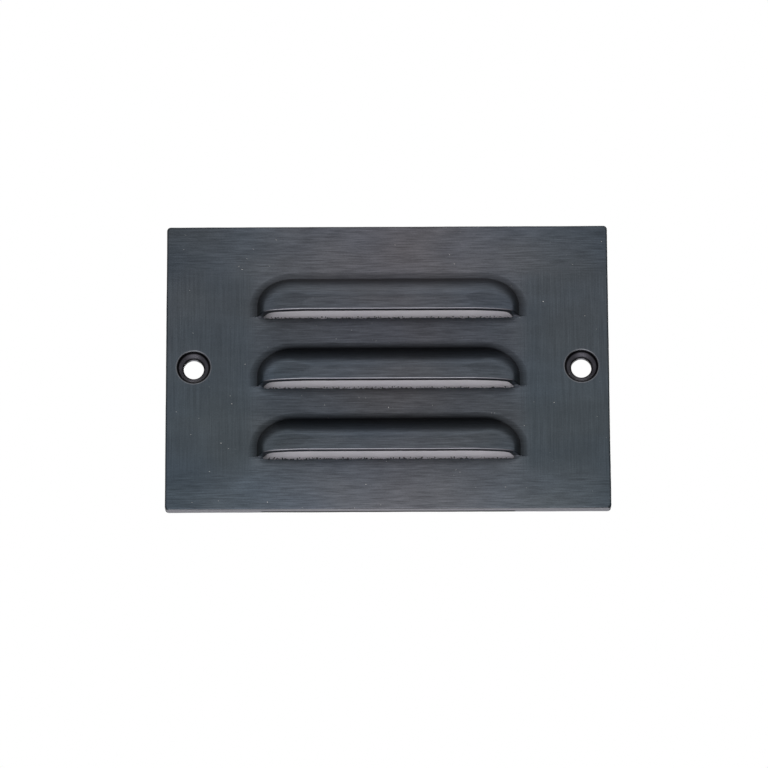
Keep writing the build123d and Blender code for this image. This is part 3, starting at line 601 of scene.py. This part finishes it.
    # a hand-worn surface is never quite flat: waves a centimetre long, and the streaks on them
    wavy = add(tree, MATH, {0: grain(tree, 9, (1.5, 1, 1), 2.0), 1: 1.3}, operation="MULTIPLY")
    height = add(tree, MATH, {0: streaks, 1: 0.2, 2: wavy}, operation="MULTIPLY_ADD")
    height = add(tree, MATH, {0: pits, 1: -0.5, 2: height}, operation="MULTIPLY_ADD")
    end_material(tree, {"Base Color": tone, "Metallic": 1.0, "Roughness": rough}, height, 0.035)
    return made


def etched_glass():
    """Toughened glass, acid etched: it spreads light evenly and looks pale mauve-grey."""
    made, tree = start_material("etched_glass")
    cloud = add(tree, RANGE, {0: grain(tree, 9), 1: 0.3, 2: 0.7})
    base = add(tree, MIX, {0: cloud, 6: colour("#f3eff6"), 7: colour("#ebe7f0")}, **RGBA)
    end_material(tree, {"Base Color": base, "Roughness": 0.5, "IOR": 1.5}, grain(tree, 0.25), 0.01)
    return made


GUNMETAL = patinated_gunmetal()
ETCHED_GLASS = etched_glass()
# skin of a sand casting, untouched by the brush: near black, rough as fine sand
CAST_SKIN = finish("cast_skin", "#2e2e31", "#232326", 0.8, 0.6, 0.1, 0.12, 0.05, Metallic=0.6)
# black polyester powder over a die casting: satin, with the orange peel of sprayed powder
POWDER_COAT = finish("black_powder_coat", "#2d2e30", "#28292b", 14, 0.5, 0.07, 0.8, 0.05)
# closed-cell foam rubber: dull black with fine pores
FOAM = finish("foam_rubber", "#29292a", "#1e1e1f", 3, 0.9, 0.05, 0.35, 0.1)
# die-cut silicone: dark grey, smooth and slightly waxy
SILICONE = finish("silicone_sheet", "#3a3b3d", "#333438", 8, 0.5, 0.06, 0.5, 0.015)
# stainless steel, cold headed: pale warm grey, with the die's faint marks
STAINLESS = finish("stainless_steel", "#b6b3ae", "#a6a39f", 2, 0.28, 0.08, 0.2, 0.006, Metallic=1.0)
# zinc plate with a clear passivate: cool grey, cloudy
ZINC = finish("zinc_plate", "#b9bcc2", "#a2a6ad", 3, 0.36, 0.1, 0.3, 0.005, Metallic=1.0)
# pressed aluminium sheet, satin: its rolling marks run across
REFLECTOR = finish("satin_aluminium", "#dcdddf", "#cfd1d4", 12, 0.34, 0.1, 0.3, 0.005, (8, 1, 1),
                   Metallic=1.0)
# steatite, unglazed: chalky off-white with a fine grain
CERAMIC = finish("steatite", "#e6e1d5", "#dbd5c7", 5, 0.62, 0.08, 0.25, 0.025)
# nickel-plated brass sleeves: pale yellow-grey
NICKEL = finish("nickel_plate", "#c9c0a6", "#b8af96", 2, 0.3, 0.08, 0.2, 0.004, Metallic=1.0)
# drawn molybdenum and tungsten wire: grey with drawing lines
WIRE = finish("drawn_wire", "#8b8886", "#767371", 1, 0.35, 0.08, 0.1, 0.003, Metallic=1.0)
# natural nylon: ivory and slightly waxy
IVORY_NYLON = finish("natural_nylon", "#dcd7c8", "#d1ccbb", 6, 0.42, 0.06, 0.4, 0.015)
# turned brass: yellow with fine rings
BRASS = finish("turned_brass", "#c9a35a", "#ba944d", 2, 0.3, 0.08, 0.15, 0.005, Metallic=1.0)
# silicone wire insulation: soft, satin, evenly coloured
BROWN_WIRE = finish("brown_silicone", "#6c4125", "#5f371f", 5, 0.48, 0.06, 0.4, 0.01)
BLUE_WIRE = finish("blue_silicone", "#2d61a0", "#255592", 5, 0.48, 0.06, 0.4, 0.01)
# black nylon, moulded in a spark-eroded tool: fine matt texture
BLACK_NYLON = finish("black_nylon", "#27282a", "#1f2021", 6, 0.48, 0.08, 0.35, 0.03)
# moulded rubber seal: matt black with a faint bloom
RUBBER = finish("moulded_rubber", "#2f2f2f", "#252525", 4, 0.72, 0.07, 0.4, 0.02)
# clear quartz: thin glass that bends what is behind it
QUARTZ = finish("clear_quartz", "#f4f6f7", "#eef1f3", 4, 0.04, 0.02, 1.5, 0.004,
                IOR=1.46, **{"Transmission Weight": 1.0})

# ---------------------------------------------------------------- face plate


def flare_left(reach):
    """The share of a hood's foot flare that is left at a reach."""
    return max(0.0, 1 - (reach / FLARE_REACH) ** 0.7) ** 1.8


def hood_drop(reach, full_reach):
    """How far a hood's top leans down by a reach."""
    share = reach / full_reach
    return reach * math.tan(TOP_LEAN) + TOP_BULGE * share ** 3 + TOP_CROWN * share ** 16


def hood_inset(reach, full_reach):
    """How far a hood's side leans in by a reach."""
    return reach * math.tan(SIDE_LEAN) + SIDE_CROWN * (reach / full_reach) ** 9


def arch(edge_z, half_width, top, corner, heights, turns=18, stretch=1.0):
    """A hood's outline as (x, z) points: up the left side, over round corners, down the right."""
    side = [height for height in heights if height < top - corner] + [top - corner]
    while len(side) < len(heights) + 1:
        side.insert(-1, (side[-2] + side[-1]) / 2)
    left = [(-half_width, edge_z + height) for height in side]
    for i in range(1, turns + 1):
        angle = math.radians(90 * i / turns)
        left.append((stretch * corner * (1 - math.cos(angle)) - half_width,
                     edge_z + top - corner + corner * math.sin(angle)))
    return left + [(-x, z) for x, z in reversed(left)]


def hood_levels():
    """Reaches at which a hood has a row of points, closer at its foot and shoulder."""
    foot_shares = (0.0, 0.01, 0.03, 0.07, 0.13, 0.2, 0.3, 0.42, 0.58, 0.76, 1.0)
    foot = [FLARE_REACH * share for share in foot_shares]
    shoulder = [HOOD_REACH * float(1 - share) for share in np.geomspace(0.6, 0.004, 30)]
    return foot + [HOOD_REACH * share for share in (0.2, 0.3)] + shoulder + [HOOD_REACH]


def hood_solid(edge_z, lip_rise):
    """The outside of one hood, with its lip's lower edge rounded."""
    foot_z = edge_z + lip_rise
    lip_heights = [LIP_ROUND * share for share in (0, 0.06, 0.16, 0.3, 0.48, 0.7, 1.0)]
    rings = []
    for reach in [-HOOD_ROOT] + hood_levels():
        level = max(reach, 0.0)
        share = level / HOOD_REACH
        flare = flare_left(level)
        half_width = HOOD_WIDTH / 2 - SIDE_FLARE * (1 - flare) - hood_inset(level, HOOD_REACH)
        top = HOOD_HEIGHT - TOP_FLARE * (1 - flare) - hood_drop(level, HOOD_REACH)
        corner = HOOD_CORNER + (CROWN_CORNER - HOOD_CORNER) * share + SIDE_FLARE * flare
        step = 1e-3
        slope = (hood_inset(level + step, HOOD_REACH) - hood_inset(level, HOOD_REACH)) / step
        away = Vector((1.0, -slope)).normalized()
        if reach == HOOD_REACH:
            away = Vector((0.0, -1.0))
        rounding = min(1.0, level / FLARE_REACH)
        ring = []
        corner = min(corner, top * CORNER_SHARE)
        outline = arch(foot_z, half_width, top - lip_rise, corner, lip_heights, stretch=CORNER_STRETCH)
        for x, z in outline:
            short = max(0.0, LIP_ROUND - (z - foot_z))
            cut = rounding * (LIP_ROUND - math.sqrt(LIP_ROUND ** 2 - short ** 2))
            ring.append((HOOD_SHIFT + x - math.copysign(away.x * cut, x),
                         -PLATE_THICK - reach - away.y * cut, z))
        rings.append(ring)
    return arch_solid("hood", rings)


def hollow_solid(edge_z):
    """The space behind one hood, open below."""
    full = HOOD_REACH - LIP_WALL
    rings = []
    for share in (0, 0.2, 0.4, 0.55, 0.68, 0.78, 0.86, 0.92, 0.96, 0.985, 1):
        level = full * share
        top = SLOT_HEIGHT - hood_drop(level, full)
        half_width = SLOT_WIDTH / 2 - hood_inset(level, full)
        corner = min(SLOT_CORNER, top * CORNER_SHARE)
        outline = arch(edge_z - MOUTH_CLEAR, half_width, top + MOUTH_CLEAR, corner, [0.0], SLOT_TURNS)
        front = -PLATE_THICK - level if share else 0.02 - PLATE_THICK
        rings.append([(x + HOOD_SHIFT, front, z) for x, z in outline])
    return arch_solid("hollow", rings)


def slot_solid(edge_z):
    """The slot through the plate. Its lower edge is rough, as the casting left it."""
    outline = arch(edge_z, SLOT_WIDTH / 2, SLOT_HEIGHT, SLOT_CORNER, [0.0], SLOT_TURNS)
    # depths through the plate, and how strongly the edge is roughened at each
    levels = [(1.0, 1.0), (-1.2, 1.0), (-2.6, 1.0), (0.12 - PLATE_THICK, 1.0), (-PLATE_THICK - 0.5, 1.6)]
    rings = []
    for depth, rag in levels:
        ring = [(x + HOOD_SHIFT, depth, z) for x, z in outline[::-1]]
        for i in range(1, RAG_POINTS):
            x = (i / RAG_POINTS - 0.5) * SLOT_WIDTH
            spot = Vector((x * 1.1, depth * 0.35, edge_z))
            rough = 0.55 * noise.noise(spot) + 0.45 * noise.noise(spot * 2.7) + 0.3 * noise.noise(spot * 0.3)
            ends = min(1.0, (SLOT_WIDTH / 2 - abs(x)) / 1.5)
            ring.append((x + HOOD_SHIFT, depth, edge_z - SLOT_RAG * rag * ends * (rough + 0.15)))
        rings.append(ring)
    return rings_solid("slot", rings)


def slab_solid():
    """The plate itself, its edges eased by hand, so no side is quite straight."""
    outline = rounded_rectangle(PLATE_WIDTH, PLATE_HEIGHT, PLATE_CORNER, step=1.2)
    rings = []
    back = eased(-BACK_ROUND, 0.0, BACK_ROUND, 2)[:0:-1]
    for depth, inset in back + eased(0.0, -PLATE_THICK, FRONT_ROUND, 6)[1:]:
        ring = []
        for x, z in outline:
            spot = Vector((x * 0.08, 0, z * 0.08))
            wear_and_highlight = 0.5 + noise.noise(spot) + 0.4 * noise.noise(spot * 5)
            edge = inset + EDGE_WEAR * max(0.0, min(1.0, wear_and_highlight))
            ring.append((x * (1 - 2 * edge / PLATE_WIDTH), depth, z * (1 - 2 * edge / PLATE_HEIGHT)))
        rings.append(ring)
    return rings_solid("face_plate_casting", rings)


def straight_solid(name, outline, low, high):
    """An outline of (x, z) points carried straight from one depth to another."""
    return rings_solid(name, [[(x, depth, z) for x, z in outline] for depth in (low, high)])


def corners_at(half_x, half_z):
    return [(x, z) for x in (-half_x, half_x) for z in (-half_z, half_z)]


def face_plate():
    plate = slab_solid()
    width, height, corner = RIM_SIZE
    inner = rounded_rectangle(width - 2 * RIM_WALL, height - 2 * RIM_WALL, corner - RIM_WALL)
    joined = [hood_solid(edge_z, rise) for edge_z, rise in zip(SLOT_EDGES, LIP_RISES)]
    joined.append(straight_solid("rim", rounded_rectangle(*RIM_SIZE), -0.5, RIM_DEEP))
    cut = [straight_solid("lens_room", inner, 0.0, RIM_DEEP + 1)]
    for centre in corners_at(BOSS_X, BOSS_Z):
        joined.append(round_turned("boss", centre, [(-0.5, BOSS_RADIUS), (BOSS_BACK, BOSS_RADIUS)], 40))
        tapping = [(-TAPPING_DEEP, TAPPING_RADIUS), (BOSS_BACK + 1, TAPPING_RADIUS)]
        cut.append(round_turned("tapping", centre, tapping, 32))
    front = -PLATE_THICK
    cone_end = front + SINK_RIM + SINK_RADIUS - HOLE_RADIUS
    # its rim is worn round
    countersink = [(front - 0.5, SINK_RADIUS + 0.26), (front - 0.01, SINK_RADIUS + 0.24),
                   (front + 0.06, SINK_RADIUS + 0.1), (front + 0.14, SINK_RADIUS),
                   (front + SINK_RIM, SINK_RADIUS), (cone_end, HOLE_RADIUS), (1.0, HOLE_RADIUS)]
    for x in (-SCREW_X, SCREW_X):
        cut.append(round_turned("countersink", (x, 0), countersink, 72))
    for edge_z in SLOT_EDGES:
        cut += [slot_solid(edge_z), hollow_solid(edge_z)]
    boolean(plate, "UNION", joined)
    boolean(plate, "DIFFERENCE", cut)
    shade(plate, 13)
    dress(plate, "fixture", GUNMETAL, "gunmetal_plate", "face_plate")


def crumb_tree():
    """Crumbs of casting skin scattered along a slot's lower edge."""
    tree, given = start_geometry("crumbs_along_edge", Count=90, Length=0.06, Depth=0.0032, Height=0.0,
                                 Spread=0.0003, Smallest=0.00006, Largest=0.0002, Seed=1)
    start = add(tree, MATH, {0: given["Length"], 1: -0.5}, operation="MULTIPLY")
    gap = add(tree, MATH, {0: given["Length"], 1: given["Count"]}, operation="DIVIDE")
    line = add(tree, "GeometryNodeMeshLine", {
        "Count": given["Count"],
        "Start Location": add(tree, VECTOR, {0: start, 1: given["Depth"], 2: given["Height"]}),
        "Offset": add(tree, VECTOR, {0: gap})})
    back = add(tree, MATH, {0: given["Spread"], 1: -1.0}, operation="MULTIPLY")
    shift = add(tree, RANDOM, {
        0: add(tree, VECTOR, {0: -0.0004, 1: back, 2: back}),
        1: add(tree, VECTOR, {0: 0.0004, 1: 0.0, 2: given["Spread"]}),
        "Seed": given["Seed"]}, data_type="FLOAT_VECTOR")
    spread = add(tree, "GeometryNodeSetPosition", {"Geometry": line, "Offset": shift})
    size = add(tree, RANDOM, {2: given["Smallest"], 3: given["Largest"], "Seed": given["Seed"]},
               data_type="FLOAT")
    turn = add(tree, RANDOM, {0: (0, 0, 0), 1: (6, 6, 6), "Seed": 5}, data_type="FLOAT_VECTOR")
    crumb = add(tree, "GeometryNodeMeshIcoSphere", {"Radius": 1.0, "Subdivisions": 1})
    long_crumb = add(tree, MOVE, {"Geometry": crumb, "Scale": (1.5, 0.8, 1.0)})
    laid = add(tree, "GeometryNodeInstanceOnPoints", {"Points": spread, "Instance": long_crumb,
                                                      "Rotation": turn, "Scale": size})
    end_geometry(tree, given, laid)
    return tree


def slot_crumbs():
    tree = crumb_tree()
    for row, edge_z in enumerate(SLOT_EDGES):
        crumbs = mesh_piece(f"slot_crumbs_{row}", [(0, 0, 0)], [])
        run_geometry(crumbs, tree, Count=110, Length=(SLOT_WIDTH - 3) * MM, Depth=(0.05 - PLATE_THICK) * MM,
                     Height=(edge_z - 0.02) * MM, Spread=0.28 * MM, Seed=row + 3, Material=CAST_SKIN)
        dress(crumbs, "fixture", CAST_SKIN, "gunmetal_plate")


# ---------------------------------------------------------------- housing


def box_size(depth, wall=0.0):
    """Width, height and corner of the tapered box at a depth, less a wall."""
    share = (depth - BOSS_BACK) / (BOX_BACK - BOSS_BACK)
    width, height = [front + (back - front) * share for front, back in zip(BOX_FRONT_SIZE, BOX_BACK_SIZE)]
    return width - 2 * wall, height - 2 * wall, BOX_CORNER - wall


def box_ring(depth, inset=0.0, wall=0.0):
    width, height, corner = box_size(depth, wall)
    outline = rounded_rectangle(width - 2 * inset, height - 2 * inset, max(0.6, corner - inset))
    return [(x, depth, z) for x, z in outline]


def housing():
    """The die-cast box: a flange with four lugs, a tapered box with soft edges, posts and a cable hub."""
    width, height = RIM_SIZE[:2]
    flange_edge = eased(BOSS_BACK, FLANGE_BACK, FLANGE_ROUND)
    rings = []
    for depth, inset in flange_edge:
        outline = rounded_rectangle(width - 2 * inset, height - 2 * inset, BOX_CORNER - inset)
        rings.append([(x, depth, z) for x, z in outline])
    flange = rings_solid("lamp_housing", rings)
    # a fillet where the box leaves the flange, then the walls, then the soft back edge
    levels = [(BOSS_BACK + 0.5, -BOX_FILLET)]
    for i in range(6):
        angle = math.pi / 2 * i / 5
        levels.append((FLANGE_BACK + BOX_FILLET * (1 - math.cos(angle)),
                       -BOX_FILLET * (1 - math.sin(angle))))
    levels += eased(FLANGE_BACK + 2, BOX_BACK, BOX_BACK_ROUND, 7)
    joined = [rings_solid("box", [box_ring(depth, inset) for depth, inset in levels])]
    hub = [(BOX_BACK - 0.6, HUB_RADIUS)]
    hub += [(depth, HUB_RADIUS - inset) for depth, inset in eased(BOX_BACK, HUB_BACK, HUB_ROUND)]
    joined.append(round_turned("hub", (0, GLAND_Z), hub, 72))
    lug = [(depth, BOSS_RADIUS - inset) for depth, inset in flange_edge]
    joined += [round_turned("lug", centre, lug, 48) for centre in corners_at(BOSS_X, BOSS_Z)]
    boolean(flange, "UNION", joined)
    room = rings_solid("room", [box_ring(BOSS_BACK - 1, wall=BOX_WALL), box_ring(BOX_FLOOR, wall=BOX_WALL)])
    boolean(flange, "DIFFERENCE", [room])
    posts = [(x, POST_Z) for x in (-POST_X, POST_X)]
    post = [(POST_FRONT, POST_RADIUS), (BOX_FLOOR + POST_ROOT, POST_RADIUS)]
    boolean(flange, "UNION", [round_turned("post", centre, post, 40) for centre in posts])
    holes = [("cable_hole", (0, GLAND_Z), BOX_FLOOR - 1, HUB_BACK + 1, THREAD_RADIUS, 64),
             ("fixing_hole", FIXING_SCREW, BOX_FLOOR - 1, BOX_FLOOR + 2.0, FIXING_HOLE_RADIUS, 24)]
    holes += [("post_hole", centre, POST_FRONT - 1, POST_FRONT + 7, POST_HOLE_RADIUS, 32)
              for centre in posts]
    holes += [("lug_hole", centre, BOSS_BACK - 1, FLANGE_BACK + 1, LUG_HOLE_RADIUS, 32)
              for centre in corners_at(BOSS_X, BOSS_Z)]
    boolean(flange, "DIFFERENCE", [round_turned(name, centre, [(start, radius), (end, radius)], turns)
                                   for name, centre, start, end, radius, turns in holes])
    shade(flange, 32)
    dress(flange, "fixture", POWDER_COAT, "cast_housing", "housing")


def pan_head_screw():
    """One pan head screw at the origin: its head lies behind the seat, its shank before it."""
    tip = SHANK_END - FLANGE_BACK
    head = [(tip, SHANK_RADIUS - 0.35), (tip + 0.4, SHANK_RADIUS), (-0.02, SHANK_RADIUS),
            (0.0, HEAD_RADIUS - 0.12), (0.12, HEAD_RADIUS), (HEAD_EDGE, HEAD_RADIUS)]
    for i in range(1, 8):
        angle = math.pi / 2 * i / 7
        head.append((HEAD_EDGE + (HEAD_HEIGHT - HEAD_EDGE) * math.sin(angle) ** 0.8,
                     HEAD_FLAT + (HEAD_RADIUS - HEAD_FLAT) * math.cos(angle)))
    screw = round_turned("housing_screw_set", (0, 0), head, 48)
    cross = [(arm * x - other * z, arm * z + other * x) for arm, other in ((1, 0), (0, 1), (-1, 0), (0, -1))
             for x, z in ((1.0, -RECESS_HALF), (1.0, RECESS_HALF), (RECESS_HALF, RECESS_HALF))]
    recess = []
    for depth, size in ((HEAD_HEIGHT + 0.2, 1.62), (HEAD_HEIGHT - 0.75, 1.3), (HEAD_HEIGHT - 1.1, 0.55)):
        recess.append([(x * size, depth, z * size) for x, z in cross])
    boolean(screw, "DIFFERENCE", [rings_solid("recess", recess)])
    shade(screw, 30)
    return screw


def screw_set_tree():
    """The piece's own screw, set at the four corners of a rectangle and turned as chance has it."""
    tree, given = start_geometry("screws_at_corners", Across=0.08, Up=0.04, Depth=0.0, Seed=2)
    grid = add(tree, "GeometryNodeMeshGrid", {"Size X": given["Across"], "Size Y": given["Up"],
                                              "Vertices X": 2, "Vertices Y": 2})
    stood = add(tree, MOVE, {
        "Geometry": grid, "Rotation": (math.pi / 2, 0, 0),
        "Translation": add(tree, VECTOR, {1: given["Depth"]})})
    turn = add(tree, RANDOM, {0: (0, 0, 0), 1: (0, 3, 0), "Seed": given["Seed"]},
               data_type="FLOAT_VECTOR")
    points = add(tree, "GeometryNodeMeshToPoints", {"Mesh": stood})
    laid = add(tree, "GeometryNodeInstanceOnPoints", {"Points": points, "Instance": given["Geometry"],
                                                      "Rotation": turn})
    end_geometry(tree, given, laid)
    return tree


def housing_screws():
    screws = run_geometry(pan_head_screw(), screw_set_tree(), Across=2 * BOSS_X * MM, Up=2 * BOSS_Z * MM,
                          Depth=FLANGE_BACK * MM, Material=STAINLESS)
    dress(screws, "fixture", STAINLESS, "stainless_screw", "housing_screws")


# ---------------------------------------------------------------- cable gland


def hexagon(flats, corner, turns=4):
    """Points round a hexagon with soft corners, its points on the X axis."""
    points = []
    reach = (flats - corner) / math.cos(math.radians(30))
    for side in range(6):
        centre = math.radians(60 * side)
        for i in range(-turns, turns + 1):
            angle = centre + math.radians(30 * i / turns)
            points.append((reach * math.cos(centre) + corner * math.cos(angle),
                           reach * math.sin(centre) + corner * math.sin(angle)))
    return points


def gland_nut_body():
    """The cap nut: soft hexagon in front, round and domed behind, bored through."""
    flats = [(NUT_FRONT, 0.25), (NUT_FRONT + 0.25, 0.0), (NUT_HEX_END - 0.6, 0.0), (NUT_HEX_END, 0.5)]
    nut = rings_solid("gland_cap_nut", [[(x, depth, z + GLAND_Z) for x, z in hexagon(NUT_FLATS - inset, 0.9)]
                                        for depth, inset in flats])
    radius = NUT_FLATS - 0.35
    dome = [(NUT_HEX_END - 1, radius), (NUT_HEX_END + DOME_START, radius)]
    for i in range(1, 8):
        angle = math.pi / 2 * i / 7
        dome.append((NUT_HEX_END + DOME_START + (NUT_END - NUT_HEX_END - DOME_START) * math.sin(angle),
                     DOME_END_RADIUS + (radius - DOME_END_RADIUS) * math.cos(angle)))
    boolean(nut, "UNION", [round_turned("dome", (0, GLAND_Z), dome, 96)])
    thread_end = NUT_FRONT + NUT_THREAD_DEEP
    bore = [(NUT_FRONT - 1, THREAD_RADIUS), (thread_end - 0.4, THREAD_RADIUS - 0.05), (thread_end, NUT_BORE),
            (NUT_END - 0.35, NUT_BORE), (NUT_END + 0.15, NUT_BORE + 0.5)]
    boolean(nut, "DIFFERENCE", [round_turned("bore", (0, GLAND_Z), bore, 72)])
    return nut


def grip_rib_tree():
    """Small grip ribs set round the nut's dome, joined to the nut that comes in."""
    tree, given = start_geometry("grip_ribs", Count=30, Radius=0.0072, Middle=0.058, Height=0.004,
                                 Rib=0.0003, Length=0.003)
    ring = add(tree, "GeometryNodeMeshCircle", {"Vertices": given["Count"], "Radius": given["Radius"]})
    stood = add(tree, MOVE, {
        "Geometry": ring, "Rotation": (math.pi / 2, 0, 0),
        "Translation": add(tree, VECTOR, {1: given["Middle"], 2: given["Height"]})})
    rib = add(tree, "GeometryNodeMeshCylinder",
              {"Vertices": 10, "Radius": given["Rib"], "Depth": given["Length"]})
    laid_rib = add(tree, MOVE, {"Geometry": rib.outputs["Mesh"], "Rotation": (math.pi / 2, 0, 0)})
    ribs = add(tree, "GeometryNodeInstanceOnPoints", {"Points": stood, "Instance": laid_rib})
    both = add(tree, "GeometryNodeJoinGeometry")
    tree.links.new(given["Geometry"], both.inputs[0])
    tree.links.new(ribs.outputs[0], both.inputs[0])
    end_geometry(tree, given, both)
    return tree


def gland_nut():
    nut = run_geometry(gland_nut_body(), grip_rib_tree(), Count=GRIP_RIBS, Radius=(NUT_FLATS - 0.42) * MM,
                       Middle=(NUT_HEX_END + 0.75) * MM, Height=GLAND_Z * MM, Rib=RIB_RADIUS * MM,
                       Length=RIB_LENGTH * MM,
                       Material=BLACK_NYLON)
    shade(nut, 32)
    dress(nut, "fixture", BLACK_NYLON, "gland_nylon", "gland_nut")


# ---------------------------------------------------------------- carried-over nodes

NODE_FINISHES = {
    "wall_gasket": FOAM,
    "lens_front_gasket": SILICONE,
    "lens": ETCHED_GLASS,
    "lens_rear_gasket": SILICONE,
    "reflector": REFLECTOR,
    "tray_screws": ZINC,
    "lampholder_bracket": ZINC,
    "lampholder_body": CERAMIC,
    "lampholder_contacts": NICKEL,
    "lampholder_screws": ZINC,
    "lamp_capsule": QUARTZ,
    "lamp_pins": WIRE,
    "lamp_filament": WIRE,
    "terminal_block": IVORY_NYLON,
    "terminal_barrels": BRASS,
    "terminal_screws": ZINC,
    "terminal_fixing_screw": ZINC,
    "lead_live": BROWN_WIRE,
    "lead_neutral": BLUE_WIRE,
    "gland_body": BLACK_NYLON,
    "gland_washer": SILICONE,
    "gland_locknut": BLACK_NYLON,
    "gland_seal": RUBBER,
}


def finish_nodes():
    for name, material in NODE_FINISHES.items():
        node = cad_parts[name]
        if not node.data.materials:
            node.data.materials.append(material)
        for i in range(len(node.data.materials)):
            node.data.materials[i] = material


# ---------------------------------------------------------------- camera and light

VIEW_ANGLE = math.radians(16.9)
VIEW_DISTANCE = 1.404
VIEW_ROLL = math.radians(-0.239)
LENS = 255.35
PLATE_CENTRE_PX = (387.55, 366.5)
IMAGE_PX = 768
FLOOR_DROP = 0.95


def camera():
    """The photograph's camera: 17 degrees below the plate's normal, looking up at it."""
    data = bpy.data.cameras.new("camera")
    data.lens = LENS
    data.sensor_width = 36.0
    data.clip_start = 0.05
    data.clip_end = 50
    data.shift_x = (IMAGE_PX / 2 - PLATE_CENTRE_PX[0]) / IMAGE_PX
    data.shift_y = (PLATE_CENTRE_PX[1] - IMAGE_PX / 2) / IMAGE_PX
    made = bpy.data.objects.new("camera", data)
    bpy.context.scene.collection.objects.link(made)
    aim = Vector((0, -PLATE_THICK * MM, 0))
    away = Vector((0, -math.cos(VIEW_ANGLE), -math.sin(VIEW_ANGLE)))
    turn = Matrix.Rotation(math.pi / 2 + VIEW_ANGLE, 4, "X") @ Matrix.Rotation(VIEW_ROLL, 4, "Z")
    made.matrix_world = Matrix.Translation(aim + away * VIEW_DISTANCE) @ turn
    bpy.context.scene.camera = made


def area_light(name, place, size, strength):
    data = bpy.data.lights.new(name, "AREA")
    data.shape = "RECTANGLE"
    data.size, data.size_y = size
    data.energy = strength
    made = bpy.data.objects.new(name, data)
    bpy.context.scene.collection.objects.link(made)
    made.location = place
    made.rotation_euler = (-Vector(place)).to_track_quat("-Z", "Y").to_euler()


def studio():
    """A white surround that the camera, metal and glass see, softer light on the rest, and three lamps."""
    world = bpy.data.worlds.new("studio")
    bpy.context.scene.world = world
    world.use_nodes = True
    tree = world.node_tree
    tree.nodes.clear()
    place = add(tree, "ShaderNodeTexCoord").outputs["Generated"]
    height = add(tree, "ShaderNodeSeparateXYZ", {0: place}).outputs["Z"]
    upward = add(tree, RANGE, {0: height, 1: -1.0, 2: 1.0})
    ramp = add(tree, RAMP, {0: upward},
               stops=[(0.0, (1, 1, 1, 1)), (0.45, (0.95, 0.95, 0.96, 1)), (0.7, (0.62, 0.63, 0.66, 1)),
                      (1.0, (0.5, 0.5, 0.53, 1))])
    soft = add(tree, "ShaderNodeBackground", {"Color": ramp, "Strength": 0.55})
    white = add(tree, "ShaderNodeBackground", {"Color": (1, 1, 1, 1), "Strength": 1.0})
    rays = add(tree, "ShaderNodeLightPath").outputs
    seen = add(tree, MATH, {0: rays["Is Camera Ray"], 1: rays["Is Glossy Ray"]}, operation="MAXIMUM")
    seen = add(tree, MATH, {0: seen, 1: rays["Is Transmission Ray"]}, operation="MAXIMUM")
    mixed = add(tree, "ShaderNodeMixShader", {0: seen, 1: soft, 2: white})
    add(tree, "ShaderNodeOutputWorld", {"Surface": mixed})
    area_light("front_low", (-0.2, -1.25, -0.58), (1.0, 0.7), 12)
    area_light("front_high", (0.05, -1.5, 0.46), (0.7, 0.5), 2.4)
    area_light("rear", (0.5, 1.5, 0.6), (1.0, 0.8), 9)
    bpy.context.scene.view_settings.view_transform = "Standard"


def floor():
    """A pale matt sweep well below the light, which hangs where a wall would hold it."""
    half = 6.0
    mesh = bpy.data.meshes.new("floor")
    mesh.from_pydata([(x * half, y * half, -FLOOR_DROP) for x, y in ((-1, -1), (1, -1), (1, 1), (-1, 1))],
                     [], [(0, 1, 2, 3)])
    made = bpy.data.objects.new("floor", mesh)
    bpy.context.scene.collection.objects.link(made)
    # painted paper sweep: even, with a faint cloudiness
    mesh.materials.append(finish("paper_sweep", "#f2f2f2", "#eeeeee", 400, 0.9, 0.03, 40, 0.0))


face_plate()
slot_crumbs()
housing()
housing_screws()
gland_nut()
finish_nodes()
floor()
camera()
studio()
